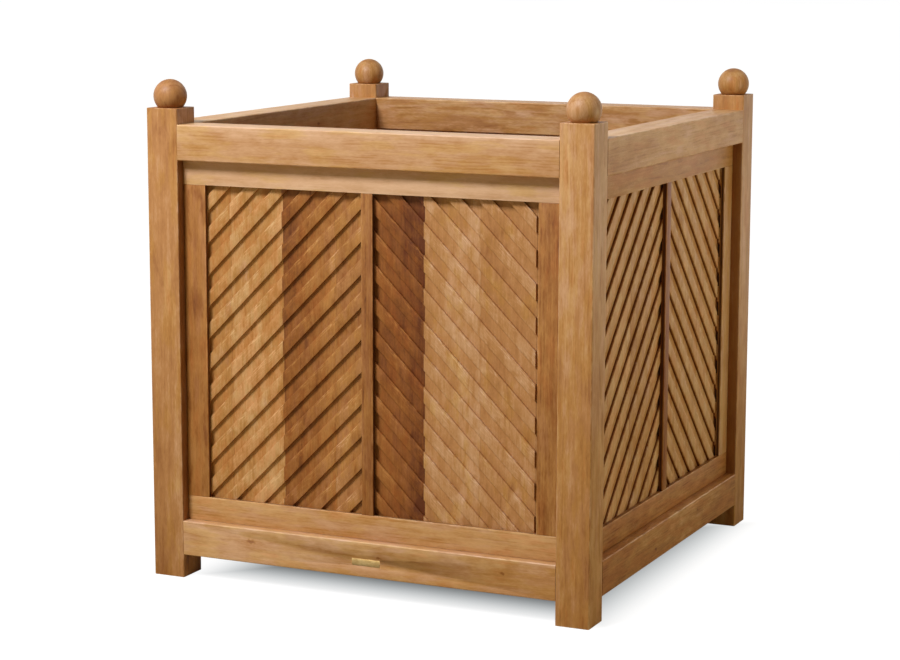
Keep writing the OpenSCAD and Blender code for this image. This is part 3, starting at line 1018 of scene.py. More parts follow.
class Grower(Graph):
    """A Geometry Nodes tree with named inputs, whose result becomes a plain mesh."""

    def __init__(self, name: str) -> None:
        """Starts a tree with a geometry output."""
        super().__init__(bpy.data.node_groups.new(name, "GeometryNodeTree"))
        self.keys: dict[str, str] = {}
        self._socket("Geometry", "OUTPUT", "Geometry")

    def _socket(self, name: str, way: str, kind: str) -> str:
        """Adds an input or output of the tree, and returns its identifier."""
        sockets = self.tree.interface
        return sockets.new_socket(name, in_out=way, socket_type=f"NodeSocket{kind}").identifier

    def input(self, name: str, kind: str = "Float") -> Wire:
        """A new named input, such as a Float, an Int, a Vector or a Material."""
        self.keys[name] = self._socket(name, "INPUT", kind)
        return self.node("NodeGroupInput", output=name)

    def inputs(self, *names: str) -> SimpleNamespace:
        """New number inputs, as the attributes of one value."""
        return SimpleNamespace(**{name: self.input(name) for name in names})

    def shape(self, kind: str, sizes: dict[Union[int, str], Value], **settings: str) -> Wire:
        """A Geometry Nodes node, by its type without the common first words."""
        return self.node(f"GeometryNode{kind}", settings, sizes)

    def block(self, low: tuple, high: tuple) -> Wire:
        """A box.

        Args:
            low: Its lowest corner, as three values.
            high: Its highest corner.

        Returns:
            A closed mesh.
        """
        size = self.vector(*(b - a for a, b in zip(low, high)))
        middle = self.vector(*((a + b) / 2 for a, b in zip(low, high)))
        return self.moved(self.shape("MeshCube", {"Size": size}), middle)

    def cylinder(self, sides: int, radius: Value, height: Value) -> Wire:
        """A cylinder along Z, centred on the origin."""
        sizes = {"Vertices": sides, "Radius": radius, "Depth": height}
        return self.shape("MeshCylinder", sizes)

    def cone(self, sides: int, top: Value, bottom: Value, height: Value) -> Wire:
        """A cut cone along Z that stands on the origin."""
        sizes = {"Vertices": sides, "Radius Top": top, "Radius Bottom": bottom, "Depth": height}
        return self.shape("MeshCone", sizes)

    def moved(self, geometry: Wire, place: Value = (0, 0, 0), turn: Value = (0, 0, 0)) -> Wire:
        """Geometry turned about the origin and then moved."""
        inputs = {"Geometry": geometry, "Translation": place, "Rotation": turn}
        return self.shape("Transform", inputs)

    def combined(self, operation: str, first: Wire, second: Wire) -> Wire:
        """The union, difference or intersection of two closed meshes."""
        inputs = {0: first, 1: second} if operation == "DIFFERENCE" else {1: [first, second]}
        return self.shape("MeshBoolean", inputs, operation=operation, solver="MANIFOLD")

    def if_any(self, size: Wire, shaped: Wire, plain: Wire) -> Wire:
        """Shaped geometry where a size is more than 0, and otherwise the plain one."""
        settings = {"data_type": "FLOAT", "operation": "GREATER_THAN"}
        asked = self.node("FunctionNodeCompare", settings, {0: size, 1: 0.0})
        inputs = {"Switch": asked, "True": shaped, "False": plain}
        return self.shape("Switch", inputs, input_type="GEOMETRY")

    def bar(self, length: Value, width: Value, height: Value, radius: Value, step: float) -> Wire:
        """A bar along X with eased long edges, centred on the origin.

        Args:
            length: Its length.
            width: Its size along Y.
            height: Its size along Z.
            radius: The radius of its long edges.
            step: The length of its segments.

        Returns:
            A closed mesh.
        """
        outline = self.shape("CurvePrimitiveQuadrilateral", {"Width": width, "Height": height})
        corners = {"Curve": outline, "Count": 3, "Radius": radius, "Limit Radius": True}
        eased = self.shape("FilletCurve", corners, mode="POLY")
        ends = {"Start": self.vector(length * -0.5), "End": self.vector(length * 0.5)}
        path = self.shape("CurvePrimitiveLine", ends)
        fine = self.shape("ResampleCurve", {"Curve": path, "Length": step}, mode="LENGTH")
        swept = {"Curve": fine, "Profile Curve": eased, "Fill Caps": True}
        return self.shape("CurveToMesh", swept)

    def row(self, shape: Wire, count: Value, start: Wire, step: Wire) -> Wire:
        """Lays copies of a shape in a row.

        Args:
            shape: The shape.
            count: How many copies there are.
            start: The first one's place.
            step: The way from each to the next.

        Returns:
            The copies, as real geometry.
        """
        line = {"Count": count, "Start Location": start, "Offset": step}
        points = self.shape("MeshLine", line)
        copies = self.shape("InstanceOnPoints", {"Points": points, "Instance": shape})
        return self.shape("RealizeInstances", {"Geometry": copies})

    def centred_row(self, shape: Wire, count: Wire, step: Wire, height: Value = 0.0) -> Wire:
        """Copies of a shape in a row along X, with its middle above the origin."""
        start = self.vector((count - 1) * step * -0.5, 0.0, height)
        return self.row(shape, count, start, self.vector(step))

    def named(self, geometry: Wire, name: str, value: Value) -> Wire:
        """Geometry that carries a number for its material."""
        inputs = {"Geometry": geometry, "Name": name, "Value": value}
        return self.shape("StoreNamedAttribute", inputs, data_type="FLOAT", domain="POINT")

    def finish(self, geometry: Wire) -> None:
        """Ends the tree with real geometry and its material.

        Args:
            geometry: All that the tree grows.
        """
        real = self.shape("RealizeInstances", {"Geometry": geometry})
        material = self.input("material", "Material")
        dressed = self.shape("SetMaterial", {"Geometry": real, "Material": material})
        self.node("NodeGroupOutput", None, {0: dressed}, output=None)

    def grow(self, name: str, **values: Value) -> bpy.types.Object:
        """Runs the tree once.

        Args:
            name: The new object's name.
            values: The inputs' values, by name.

        Returns:
            A plain mesh object with no modifier.
        """
        holder = linked(bpy.data.objects.new(name, bpy.data.meshes.new(name)))
        modifier = holder.modifiers.new("grow", "NODES")
        modifier.node_group = self.tree
        for key, value in values.items():
            modifier[self.keys[key]] = value
        bpy.context.view_layer.update()
        depsgraph = bpy.context.evaluated_depsgraph_get()
        data = bpy.data.meshes.new_from_object(holder.evaluated_get(depsgraph))
        holder.modifiers.remove(modifier)
        old = holder.data
        holder.data = data
        bpy.data.meshes.remove(old)
        data.name = name
        return holder


# Sub-assemblies ------------------------------------------------------------------------------


@dataclass
class Joinery:
    """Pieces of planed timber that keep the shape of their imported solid."""

    teak: Teak

    def dress(
        self, node: str, slot: str, grain: Grain, tone: Tone, planes: tuple[Plane, ...] = (),
        **marks: Union[Plane, tuple, float],
    ) -> None:
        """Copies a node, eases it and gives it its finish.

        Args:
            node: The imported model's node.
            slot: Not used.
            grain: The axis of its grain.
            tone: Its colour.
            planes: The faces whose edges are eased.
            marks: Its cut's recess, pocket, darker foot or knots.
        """
        material = PlainTeak(Cut(node, grain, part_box(node), tone, **marks), self.teak).material
        add_piece(Easing(planes).copy(node, f"{node}_wood", material), node)


POST_TONES = (
    Tone(0.02, 0.14, 1.2, rosy=0.12),
    # The right-hand posts' side faces get painted light.
    Tone(0.06, 0.14, 1.1, rosy=0.06, lean=0.06, cheek=0.11),
    Tone(0.03, 0.1, cheek=0.08),
    Tone(0.04, 0.2),
)


@dataclass
class Posts(Joinery):
    """Four square posts, eased round the top and the foot."""

    damp: float = 30 * MM

    def build(self) -> None:
        """Makes the posts."""
        pocket = (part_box("front_bottom_rail")[1].z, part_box("front_top_rail")[0].z)
        marks = {"pocket": pocket, "damp": self.damp}
        for corner, tone in zip(CORNERS, POST_TONES):
            node = f"post_{corner}"
            planes = tuple(Plane(2, end.z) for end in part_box(node))
            self.dress(node, "post_teak", Grain.Z, tone, planes, **marks)


FLANK_RAIL_TONES = {
    "top": Tone(0.15, 0.08, 1.1, sap=0.06),
    "bottom": Tone(-0.03, 0.06, 1.5, rosy=-0.10, sap=0.10),
}
RAIL_TONES = {
    Side.FRONT: {
        "top": Tone(0.17, 0.08, 0.9, rosy=0.12, lean=-0.04, sap=0.08),
        "bottom": Tone(0.15, 0.08, 0.9, rosy=0.08, lean=-0.20, sap=0.12),
    },
    Side.RIGHT: FLANK_RAIL_TONES,
    Side.BACK: {"top": Tone(0.10, 0.12, 1.3, rosy=0.06), "bottom": Tone(0.12, 0.1, lean=0.10)},
    Side.LEFT: FLANK_RAIL_TONES,
}
KNOTS = {
    "front_bottom_rail": (
        Knot(-184 * MM, 68 * MM, 4.5 * MM),
        Knot(27 * MM, 66 * MM, 2.6 * MM),
        Knot(219 * MM, 66 * MM, 2.5 * MM),
    ),
    "right_bottom_rail": (Knot(-80 * MM, 52 * MM, 3 * MM), Knot(110 * MM, 70 * MM, 2.5 * MM)),
    "back_bottom_rail": (Knot(-130 * MM, 58 * MM, 4 * MM),),
    "left_top_rail": (Knot(90 * MM, 648 * MM, 3 * MM),),
}


@dataclass
class Rails(Joinery):
    """Four top rails and four bottom rails, which come with eased edges."""

    def build(self) -> None:
        """Makes the rails."""
        for side, tones in RAIL_TONES.items():
            for level, tone in tones.items():
                node = f"{side.label}_{level}_rail"
                self.dress(node, "rail_teak", side.along, tone, knots=KNOTS.get(node, ()))


FRAME_TONES = {
    "frame_top": Tone(0.33, 0.0, 0.7, rosy=0.16),
    "frame_bottom": Tone(0.18, 0.1, 0.9),
    "left_stile": Tone(-0.06, 0.32, 1.2),
    "right_stile": Tone(-0.12, 0.14, 1.5),
    "muntin": Tone(-0.25, 0.20, 1.3, rosy=0.06, lean=0.10),
}
FLANK_FRAME_TONES = {
    "frame_top": Tone(0.06, 0.0, 1.0, rosy=-0.04),
    "frame_bottom": Tone(-0.02, 0.06, 1.5, rosy=-0.10),
    "left_stile": Tone(0.05, 0.05),
    "right_stile": Tone(0.14, 0.0, rosy=0.06),
    "muntin": Tone(-0.32, 0.05, rosy=-0.06),
}


@dataclass
class PanelFrames(Joinery):
    """The frame in each side: two rails, two stiles and a muntin."""

    def build(self) -> None:
        """Makes the twenty members."""
        for side in Side:
            faces = self._faces(side)
            for member, tone in (FLANK_FRAME_TONES if side.is_flank else FRAME_TONES).items():
                grain = side.along if member.startswith("frame") else Grain.Z
                node = f"{side.label}_{member}"
                self.dress(node, "frame_teak", grain, tone, faces, recess=faces[0])

    @staticmethod
    def _faces(side: Side) -> tuple[Plane, Plane]:
        """Finds the faces of a side's frame.

        Args:
            side: The side.

        Returns:
            The outer and the inner face.
        """
        axis = 0 if side.is_flank else 1
        low, high = (Plane(axis, corner[axis]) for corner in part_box(f"{side.label}_frame_top"))
        return (low, high) if side in (Side.FRONT, Side.LEFT) else (high, low)


# The boards of a leaf, from its outer edge to the muntin.
BOARD_TONES = {
    Half.LEFT: (
        Tone(0.10, 0.08, rosy=-0.04),
        Tone(0.13, 0.0, rosy=-0.08),
        Tone(-0.21, 0.30, lean=0.22),
        Tone(-0.06, 0.20, rosy=0.08),
    ),
    Half.RIGHT: (
        Tone(0.06, 0.04, rosy=0.18),
        Tone(0.08, 0.0, rosy=0.16, lean=0.08),
        Tone(-0.38, 0.48, lean=-0.30),
    ),
}
FLANK_BOARD_TONES = {
    Half.LEFT: (
        Tone(0.16, 0.0, rosy=-0.06),
        Tone(0.21, 0.0, rosy=-0.10),
        Tone(0.10, 0.0, rosy=0.04),
        Tone(0.18, 0.0, rosy=-0.08),
    ),
    Half.RIGHT: (Tone(0.21, 0.0, rosy=-0.06), Tone(0.17, 0.0, rosy=-0.04), Tone(0.15, 0.0)),
}


@dataclass(frozen=True)
class Board:
    """What one milled board has of its own, as inputs of the tree that grows it."""

    left: float
    right: float
    bottom: float
    top: float
    face: float
    thickness: float
    start: float
    slope: float
    turn: float
    light: float
    rust: float
    rosy: float
    lean: float
    seed: float
    quirk: float
    left_tongue: float
    right_tongue: float
    left_groove: float
    right_groove: float


class MilledBoard(Grower):
    """The tree that grows one milled board from a Board and the sizes that the leaves share."""

    # The share of the strips' roots that is kept, so that no two faces lie in one plane.
    KEPT_ROOT = 0.9

    def __init__(self, leaves: "Leaves") -> None:
        """Builds the tree.

        Args:
            leaves: The leaves' sizes.
        """
        super().__init__("milled_board")
        self.leaves, root = leaves, leaves.root
        size = self.inputs(*(field.name for field in fields(Board)), *leaves.SHARED)
        self.size, self.floor, self.back = size, size.face + size.depth, size.face + size.thickness
        plank = self.block((size.left, self.floor, size.bottom), (size.right, self.back, size.top))
        trim = self.block(
            (size.left, size.face - root, size.bottom),
            (size.right, self.floor + root * self.KEPT_ROOT, size.top),
        )
        board = self.combined("UNION", plank, self.combined("INTERSECT", self._strips(), trim))
        edge = size.right - size.lap
        quirk = self.block(
            (edge - size.quirk, size.face - root, size.bottom - MM),
            (edge, size.face + size.quirk_depth, size.top + MM),
        )
        board = self.if_any(size.quirk, self.combined("DIFFERENCE", board, quirk), board)
        board = self._fitted(board, -1, size.left, size.left_tongue, size.left_groove)
        board = self._fitted(board, 1, size.right, size.right_tongue, size.right_groove)
        for name in ("light", "rust", "rosy", "lean", "seed"):
            board = self.named(board, name, getattr(size, name))
        board = self.named(board, "middle", (size.left + size.right) / 2 / MM)
        self.finish(self.moved(board, turn=self.vector(z=size.turn)))

    def _strips(self) -> Wire:
        """Lays the slanting strips, with edges slightly torn by the cutter.

        Returns:
            Strips that reach past the board on every side and a little below their channels.
        """
        size, leaves = self.size, self.leaves
        middle, width = (size.left + size.right) / 2, size.right - size.left
        rise = size.slope * middle + size.start
        first = math.floor((size.bottom - rise - width) / size.pitch) - 1
        count = math.floor((size.top - size.bottom + 2 * width) / size.pitch) + 4
        length, thick = (width + 2 * size.pitch) * math.sqrt(2), size.depth + leaves.root
        bar = self.bar(length, thick, size.strip, size.arris, leaves.segment)
        place = self.vector(0.0, size.face + thick / 2, size.strip / math.sqrt(2))
        slanted = self.moved(bar, place, self.vector(y=size.slope * (-math.pi / 4)))
        start = self.vector(middle, 0.0, rise + first * size.pitch)
        strips = self.row(slanted, count, start, self.vector(z=size.pitch))
        spread = {
            0: self.scaled(self.node("GeometryNodeInputPosition"), 1 / leaves.tear_size),
            1: self.vector(size.seed),
        }
        rough = self.noise(self.node("ShaderNodeVectorMath", {"operation": "ADD"}, spread), 2.0)
        moved = self.scaled(self.node("GeometryNodeInputNormal"), (rough - 0.5) * size.tear)
        return self.shape("SetPosition", {"Geometry": strips, "Offset": moved})

    def _fitted(self, board: Wire, sign: int, edge: Wire, tongue: Wire, groove: Wire) -> Wire:
        """Works a tongue and a groove on one edge of a board.

        Args:
            board: The board.
            sign: -1 at the left edge and 1 at the right.
            edge: The edge's place.
            tongue: How far its tongue stands out, or 0 where it has none.
            groove: How deep its groove is, or 0.

        Returns:
            The fitted board.
        """
        thick, bottom, top = self.size.tongue_thickness, self.size.bottom, self.size.top
        near = self.floor + (self.back - self.floor - thick) / 2
        far, room = near + thick, self.leaves.groove_side_room
        low, high = (edge - sign * MM, edge + tongue * sign)[::sign]
        added = self.block((low, near, bottom), (high, far, top))
        board = self.if_any(tongue, self.combined("UNION", board, added), board)
        low, high = (edge - groove * sign, edge + sign * MM)[::sign]
        cut = self.block((low, near - room, bottom - MM), (high, far + room, top + MM))
        return self.if_any(groove, self.combined("DIFFERENCE", board, cut), board)


@dataclass
class Leaves:
    """Eight leaves of tongued boards, milled with slanting channels."""

    teak: Teak
    first_left: float = 42 * MM
    first_right: float = 96 * MM
    board: float = 86 * MM
    gap: float = 0.2 * MM
    strip: float = 16.6 * MM
    channel: float = 16.6 * MM
    depth: float = 4.5 * MM
    root: float = 1.5 * MM
    lap: float = 5 * MM
    tongue: float = 5 * MM
    tongue_thickness: float = 4 * MM
    groove_room: float = 0.5 * MM
    groove_side_room: float = 0.2 * MM
    arris: float = 0.6 * MM
    tear: float = 0.5 * MM
    tear_size: float = 4 * MM
    segment: float = 3.5 * MM
    quirk: float = 6 * MM
    quirk_depth: float = 4.9 * MM
    starts: tuple[float, ...] = (14.5 * MM, 4.5 * MM, 45.5 * MM, 28 * MM)
    SHARED: ClassVar[tuple[str, ...]] = (
        "strip", "depth", "pitch", "arris", "tear", "lap", "quirk_depth", "tongue_thickness"
    )

    def build(self) -> None:
        """Makes the leaves."""
        tree = MilledBoard(self)
        for side in Side:
            for half in Half:
                self._leaf(tree, side, half)

    def start(self, side: Side, half: Half) -> float:
        """Where a strip's lower edge crosses the middle of the side, above the floor."""
        return self.starts[2 * side.is_flank + (half is Half.RIGHT)]

    @staticmethod
    def burnt(side: Side, half: Half) -> float:
        """How much painted shade darkens the walls of a leaf's channels, from 0 to 1: most on the
        flanks, whose walls the key light doesn't reach, and least on the right halves of the front
        and back, whose walls it lights.
        """
        return 0.95 if side.is_flank else {Half.LEFT: 0.35, Half.RIGHT: 0.15}[half]

    @property
    def pitch(self) -> float:
        """The rise from one strip to the next."""
        return (self.strip + self.channel) * math.sqrt(2)

    def _joints(self, width: float, half: Half) -> list[float]:
        """Finds where a leaf's boards meet.

        Args:
            width: The leaf's width.
            half: Its half of the side.

        Returns:
            The places of the boards' edges from the leaf's outer edge to its inner one.
        """
        joints = [0.0, self.first_left if half is Half.LEFT else self.first_right]
        while joints[-1] + self.board <= width - self.board / 2:
            joints.append(joints[-1] + self.board)
        return [*joints, width]

    def _leaf(self, tree: Grower, side: Side, half: Half) -> None:
        """Makes one leaf.

        Args:
            tree: The board's tree.
            side: Its side.
            half: Its half of the side.
        """
        node = f"{side.label}_{half.label}_leaf"
        low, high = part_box(node)
        turn = Matrix.Rotation(-side.turn, 3, "Z")
        ends = [turn @ corner for corner in (low, high)]
        near, far = sorted(abs(end.x) for end in ends)
        face, thickness = min(end.y for end in ends), abs(ends[0].y - ends[1].y)
        material = MilledTeak(self, node, side, half, face).material
        shared = {name: getattr(self, name) for name in self.SHARED} | {"material": material}
        joints = self._joints(far - near, half)
        tones = (FLANK_BOARD_TONES if side.is_flank else BOARD_TONES)[half]
        parts = []
        for index, (outer, inner, tone) in enumerate(zip(joints, joints[1:], tones)):
            is_last = inner == joints[-1]
            edges = (-far + outer, -far + inner - (0.0 if is_last else self.gap))
            tongues = (0.0, 0.0 if is_last else self.tongue + self.gap)
            grooves = (self.tongue + self.groove_room if index else 0.0, 0.0)
            if half is Half.RIGHT:
                edges = (-edges[1], -edges[0])
                tongues, grooves = tongues[::-1], grooves[::-1]
            board = Board(
                *edges, low.z, high.z, face, thickness, self.start(side, half), half.slope,
                side.turn, tone.light, tone.rust, tone.rosy, tone.lean,
                seed=float(index + 5 * half.value + 11 * side.value),
                quirk=self.quirk if index == 0 and half is Half.RIGHT else 0.0,
                left_tongue=tongues[0], right_tongue=tongues[1],
                left_groove=grooves[0], right_groove=grooves[1],
            )
            parts.append(tree.grow(f"{node}_board_{index + 1}", **asdict(board), **shared))
        add_piece(joined(parts, f"{node}_boards"), node, crease=35.0)


FINIAL_TONES = (
    Tone(0.0, 0.16, 1.1, rosy=0.10),
    Tone(0.10, 0.0, 1.1, rosy=0.14),
    Tone(0.06, 0.05, 1.1),
    Tone(0.08, 0.10, 1.1),
)


@dataclass
class Finials:
    """Four turned balls, each with a flat seat and its spigot."""

    teak: Teak
    ball: float = 49 * MM
    seat: float = 36 * MM
    seat_arris: float = 0.5 * MM
    spigot: float = 16 * MM
    depth: float = 22 * MM
    around: int = 96
    up: int = 48

    def build(self) -> None:
        """Makes the finials."""
        for corner, tone in zip(CORNERS, FINIAL_TONES):
            node = f"finial_{corner}"
            low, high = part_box(node)
            shape = bmesh.new()
            self._turn_on_lathe(shape)
            centre = (low + high) / 2
            bmesh.ops.translate(shape, verts=shape.verts, vec=(centre.x, centre.y, low.z))
            cut = Cut(node, Grain.Z, (low, high), tone)
            material = PlainTeak(cut, self.teak, edges=False).material
            add_piece(object_from(f"{node}_wood", shape, material), node, crease=40.0)

    def _turn_on_lathe(self, shape: bmesh.types.BMesh) -> None:
        """Turns a finial with the end of its spigot at the origin.

        Args:
            shape: The empty mesh that it is added to.
        """
        radius, seat, spigot = self.ball / 2, self.seat / 2, self.spigot / 2
        rise = math.sqrt(radius * radius - seat * seat)
        centre = self.depth + rise
        start = math.asin(-rise / radius)
        profile = [(0.0, 0.0), (spigot, 0.0), (spigot, self.depth)]
        profile.append((seat - self.seat_arris, self.depth))
        for step in range(1, self.up + 1):
            angle = start + (math.pi / 2 - start) * step / self.up
            profile.append((radius * math.cos(angle), centre + radius * math.sin(angle)))
        verts = [shape.verts.new((across, 0.0, up)) for across, up in profile]
        edges = [shape.edges.new(pair) for pair in zip(verts, verts[1:])]
        bmesh.ops.spin(
            shape, geom=verts + edges, axis=(0, 0, 1), cent=(0, 0, 0), steps=self.around,
            angle=2 * math.pi, use_merge=True,
        )
        bmesh.ops.remove_doubles(shape, verts=shape.verts, dist=WELD)
        bmesh.ops.recalc_face_normals(shape, faces=shape.faces)


class SlatRow(Grower):
    """The tree that grows the slats, with a countersunk hole for each screw."""

    def __init__(self, parts: "FloorParts") -> None:
        """Builds the tree.

        Args:
            parts: The floor's sizes.
        """
        super().__init__("slats")
        count = self.input("count", "Int")
        size = self.inputs(
            "length", "width", "thickness", "ease", "step", "level", "row", "bore", "head"
        )
        bore, head, thick, sides = size.bore, size.head, size.thickness, parts.bore_sides
        slat = self.bar(size.length, size.width, thick, size.ease, parts.slat_segment)
        sink = self.cone(sides, head + MM, bore, head + MM - bore)
        sink = self.moved(sink, self.vector(z=thick / 2 - (head - bore)))
        drill = self.combined("UNION", self.cylinder(sides, bore, thick * 2), sink)
        start, step = self.vector(-size.row), self.vector(size.row)
        drilled = self.combined("DIFFERENCE", slat, self.row(drill, len(parts.rows), start, step))
        turned = self.moved(drilled, turn=(0.0, 0.0, math.pi / 2))
        self.finish(self.centred_row(turned, count, size.step, size.level + thick / 2))


class ScrewRow(Grower):
    """The tree that grows one row of screws."""

    # Where the shank starts in the head, as a share of the head's taper.
    SHANK_START = 0.9

    def __init__(self, parts: "FloorParts") -> None:
        """Builds the tree.

        Args:
            parts: The floor's sizes.
        """
        super().__init__("screws")
        count, place = self.input("count", "Int"), self.input("place", "Vector")
        size = self.inputs("length", "head", "shank", "step", "tip_turn", "side_turn")
        head, shank, sides = size.head, size.shank, parts.screw_sides
        flare = head - shank
        shaft = size.length - flare - shank * 2
        top = self.moved(self.cone(sides, head, shank, flare), self.vector(z=-flare))
        middle = self.vector(z=shaft * -0.5 - flare * self.SHANK_START)
        body = self.moved(self.cylinder(sides, shank, shaft), middle)
        tip = self.cone(sides, shank, parts.tip, shank * 2)
        tip = self.moved(tip, self.vector(z=-size.length))
        solid = self.combined("UNION", self.combined("UNION", top, body), tip)
        long, narrow = head * parts.slot_reach, head * parts.slot_width
        for x, y in ((long, narrow), (narrow, long)):
            slot = self.block((-x, -y, head * -parts.slot_depth), (x, y, MM))
            solid = self.combined("DIFFERENCE", solid, slot)
        aimed = self.moved(solid, turn=self.vector(size.tip_turn))
        line = self.moved(self.centred_row(aimed, count, size.step), place)
        self.finish(self.moved(line, turn=self.vector(z=size.side_turn)))


@dataclass
class FloorParts(Joinery):
    """The cleats, the bearer, the slats and all the screws.

    A screw's cross slot is given as shares of its head's radius.
    """

    slats: int = 7
    slat_step: float = 83.5 * MM
    slat_segment: float = 30 * MM
    rows: tuple[float, ...] = (-286.5 * MM, 0.0, 286.5 * MM)
    ease: float = 2 * MM
    bore: float = 2.1 * MM
    bore_sides: int = 24
    head: float = 4 * MM
    shank: float = 2 * MM
    tip: float = 0.05 * MM
    slot_reach: float = 0.55
    slot_width: float = 0.11
    slot_depth: float = 0.4
    screw_sides: int = 32
    slat_screw: float = 34 * MM
    cleat_screw: float = 50 * MM

    def build(self) -> None:
        """Makes the floor."""
        for node in ("front_cleat", "back_cleat", "floor_bearer"):
            self.dress(node, "floor_teak", Grain.X, Tone(-0.05, 0.1))
        self._lay_slats()
        self._drive_screws()

    def _lay_slats(self) -> None:
        """Grows the slats."""
        low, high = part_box("floor_slats")
        cut = Cut("floor_slats", Grain.Y, (low, high), Tone(-0.04, 0.1))
        piece = SlatRow(self).grow(
            "floor_slats_wood",
            count=self.slats,
            length=high.y - low.y,
            width=high.x - low.x - (self.slats - 1) * self.slat_step,
            thickness=high.z - low.z,
            ease=self.ease,
            step=self.slat_step,
            level=low.z,
            row=self.rows[-1],
            bore=self.bore,
            head=self.head,
            material=PlainTeak(cut, self.teak, edges=False).material,
        )
        add_piece(piece, "floor_slats", crease=35.0)

    def _drive_screws(self) -> None:
        """Grows the screws through the slats and through the cleats."""
        tree = ScrewRow(self)
        common = {
            "head": self.head, "shank": self.shank, "step": self.slat_step,
            "material": Steel().material,
        }
        top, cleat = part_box("floor_slats")[1].z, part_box("front_cleat")
        keys = ("count", "length", "tip_turn", "side_turn", "place")
        rows = {
            "slat_screws": [
                (self.slats, self.slat_screw, 0.0, 0.0, (0.0, row, top)) for row in self.rows
            ],
            "cleat_screws": [
                (self.slats - 1, self.cleat_screw, -math.pi / 2, half_turns * math.pi,
                 (0.0, cleat[1].y, (cleat[0].z + cleat[1].z) / 2))
                for half_turns in range(2)
            ],
        }
        for node, cases in rows.items():
            parts = [
                tree.grow(f"{node}_{index}", **common, **dict(zip(keys, case)))
                for index, case in enumerate(cases)
            ]
            add_piece(joined(parts, f"{node}_steel"), node, crease=30.0)


@dataclass
class NamePlate:
    """A bare brass plate let into the front bottom rail, and its two pins."""

    edge: float = 0.25 * MM
    steps: int = 2
    least_length: float = 0.5 * MM

    def build(self) -> None:
        """Makes the plate and the pins."""
        brass = Brass().material
        face = Plane(1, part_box("name_plate")[0].y)
        easing = Easing((face,), self.edge, self.steps, self.least_length)
        for node, name in (("name_plate", "plate_brass"), ("plate_pins", "pins_brass")):
            add_piece(easing.copy(node, name, brass), node, crease=40.0)


# Camera, light and stage ---------------------------------------------------------------------


@dataclass(frozen=True)
class Lamp:
    """A square soft box that is aimed at the planter."""

    name: str
    ray: Vector
    distance: float
    size: float
    power: float
    colour: Colour
    target: Vector = Vector((0, 0, 0.45))

    def build(self) -> None:
        """Adds the lamp."""
        data = bpy.data.lights.new(self.name, "AREA")
        data.shape = "SQUARE"
        data.size = self.size
        data.energy = self.power
        data.color = self.colour
        lamp = linked(bpy.data.objects.new(self.name, data))
        ray = self.ray.normalized()
        lamp.location = self.target + ray * self.distance
        lamp.rotation_euler = ray.to_track_quat("Z", "Y").to_euler()
        lamp.visible_camera = False


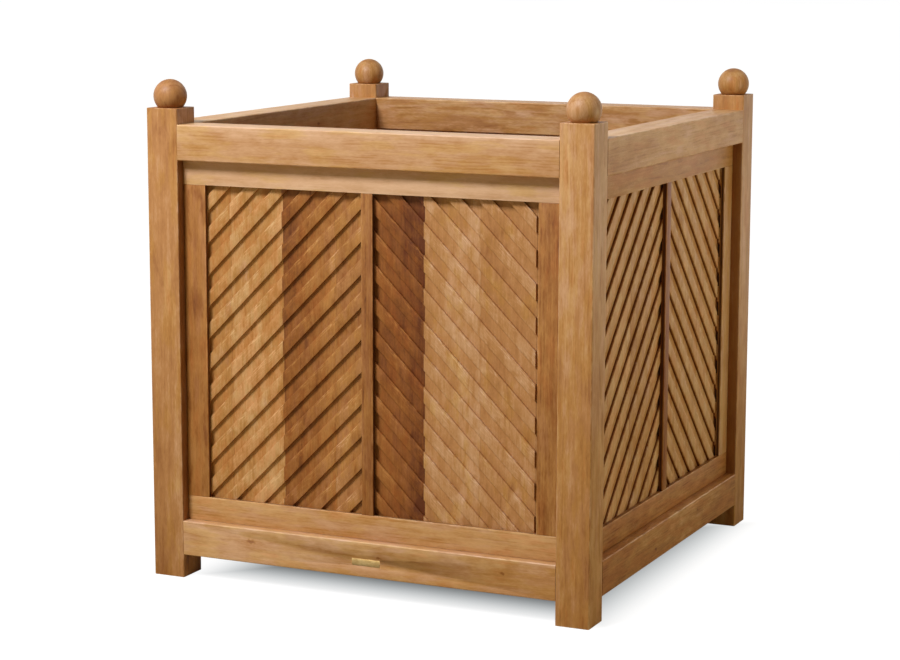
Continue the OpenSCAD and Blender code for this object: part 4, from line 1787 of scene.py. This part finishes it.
@dataclass(frozen=True)
class Studio:
    """The camera at the photograph's angle, two soft boxes, a bright cove and a white floor.

    The floor's glow dims into a painted shadow beneath the planter, which fades out just past its
    sides and lies shifted towards +X, and glossy reflections of the floor get painted shade near
    it.
    """

    place: Vector = Vector((1.49706, -3.31303, 0.94586))
    azimuth: float = math.radians(24.6451)
    elevation: float = math.radians(9.3981)
    roll: float = math.radians(0.1177)
    lens: float = 94.905
    sensor: float = 36.0
    far_clip: float = 60.0
    lamps: tuple[Lamp, ...] = (
        Lamp("key", Vector((-0.40, -1.0, 1.04)), 3.6, 0.9, 116.0, (1.0, 0.99, 1.01)),
        Lamp(
            "low fill", Vector((1.0, 0.0, 0.02)), 0.90, 0.24, 2.5, (1.0, 0.92, 0.68),
            Vector((0.35, 0.08, 0.51)),
        ),
    )
    white: Colour = (1.0, 1.0, 1.0)
    dim: Colour = (0.06, 0.044, 0.018)
    bright: Colour = (0.40, 0.365, 0.28)
    cove_from: float = -0.15
    cove_to: float = 0.45
    floor_reach: float = 30.0
    bounce: Colour = (0.56, 0.48, 0.27)
    shadow: Colour = (0.14, 0.14, 0.14)
    # Painted shadow on the floor: the glow at its core, the distances from the planter's sides,
    # inside and just outside, over which it fades out, and its shift towards +X.
    under: float = 0.08
    under_from: float = -0.155
    under_to: float = 0.01
    under_shift: float = 0.038
    # The painted shadow's bluish tint.
    cool: Colour = (0.90, 0.97, 1.0)
    # Painted shade in the floor's reflections: the glow right beside the planter and the reach
    # over which it fades.
    gloss_near: float = 0.06
    gloss_to: float = 4.0

    def build(self) -> None:
        """Adds everything that isn't part of the object."""
        self._camera()
        for lamp in self.lamps:
            lamp.build()
        self._world()
        self._floor()

    def _camera(self) -> None:
        """Adds the camera, turned by its azimuth, elevation and roll."""
        data = bpy.data.cameras.new("camera")
        data.lens = self.lens
        data.sensor_width = self.sensor
        data.sensor_fit = "HORIZONTAL"
        data.clip_end = self.far_clip
        camera = linked(bpy.data.objects.new("camera", data))
        out = math.cos(self.elevation)
        back = Vector(
            (math.sin(self.azimuth) * out, -math.cos(self.azimuth) * out, math.sin(self.elevation))
        )
        level = Vector((0, 0, 1)).cross(back).normalized()
        up = back.cross(level)
        cos, sin = math.cos(self.roll), math.sin(self.roll)
        right, top = cos * level + sin * up, cos * up - sin * level
        turn = Matrix((right, top, back)).transposed()
        camera.matrix_world = Matrix.Translation(self.place) @ turn.to_4x4()
        bpy.context.scene.camera = camera

    def _world(self) -> None:
        """Adds a dim room in front and a bright cove behind, seen as white."""
        world = bpy.data.worlds.new("studio")
        world.use_nodes = True
        bpy.context.scene.world = world
        graph = Graph(world.node_tree)
        seen = self._is_seen(graph)
        _, towards, _ = graph.split(graph.node("ShaderNodeTexCoord", output="Generated"))
        cove = graph.fade(towards, self.cove_from, self.cove_to)
        colour = graph.mix(graph.mix(self.dim, self.bright, cove), self.white, seen)
        graph.feed(world.node_tree.nodes["Background"].inputs["Color"], colour)

    @staticmethod
    def _is_seen(graph: Graph) -> Wire:
        """1 where the camera sees a surface directly, in a gloss or through glass."""
        path = graph.node("ShaderNodeLightPath", output="Is Camera Ray")
        return graph.most(path, path.out("Is Glossy Ray"), path.out("Is Transmission Ray"))

    def _floor(self) -> None:
        """Adds a floor that is seen white, keeps the lamps' shadow, carries a painted shadow
        beneath the planter and painted shade in reflections near it, and throws a little light up.
        """
        material = bpy.data.materials.new("floor")
        material.use_nodes = True
        graph, nodes = Graph(material.node_tree), material.node_tree.nodes
        nodes.remove(nodes["Principled BSDF"])
        seen = self._is_seen(graph)
        colour = graph.mix(self.bounce, self.shadow, seen)
        matt = graph.node("ShaderNodeBsdfDiffuse", None, {"Color": colour})
        x, y, _ = graph.split(graph.node("ShaderNodeTexCoord", output="Object"))
        # Painted shadow: the glow dims in a patch beneath the planter, shifted towards +X, and
        # more widely in glossy reflections.
        beside = graph.most(abs(x - self.under_shift), abs(y)) - CAD_BOX[1][0]
        outside_painted_shadow = graph.fade(beside, self.under_from, self.under_to)
        bare = self.under + (1.0 - self.under) * outside_painted_shadow
        away = graph.fade(beside, 0.0, self.gloss_to)
        glossy_glow = self.gloss_near + (1.0 - self.gloss_near) * away
        direct = graph.node("ShaderNodeLightPath", output="Is Camera Ray")
        strength = glossy_glow + (bare - glossy_glow) * direct
        tint = graph.mix(self.cool, self.white, outside_painted_shadow)
        glow = graph.node("ShaderNodeEmission", None, {"Color": tint, "Strength": seen * strength})
        both = graph.node("ShaderNodeAddShader", None, {0: matt, 1: glow})
        graph.feed(nodes["Material Output"].inputs["Surface"], both)
        shape = bmesh.new()
        bmesh.ops.create_grid(shape, x_segments=1, y_segments=1, size=self.floor_reach)
        object_from("floor", shape, material)


def main() -> None:
    """Builds the planter and its studio."""
    logging.basicConfig(level=logging.INFO, format="%(message)s")
    bpy.context.scene.view_settings.view_transform = "Standard"
    Studio().build()
    teak = Teak()
    for assembly in (
        Posts(teak),
        Rails(teak),
        PanelFrames(teak),
        Leaves(teak),
        Finials(teak),
        FloorParts(teak),
        NamePlate(),
    ):
        assembly.build()


if __name__ == "__main__":
    main()
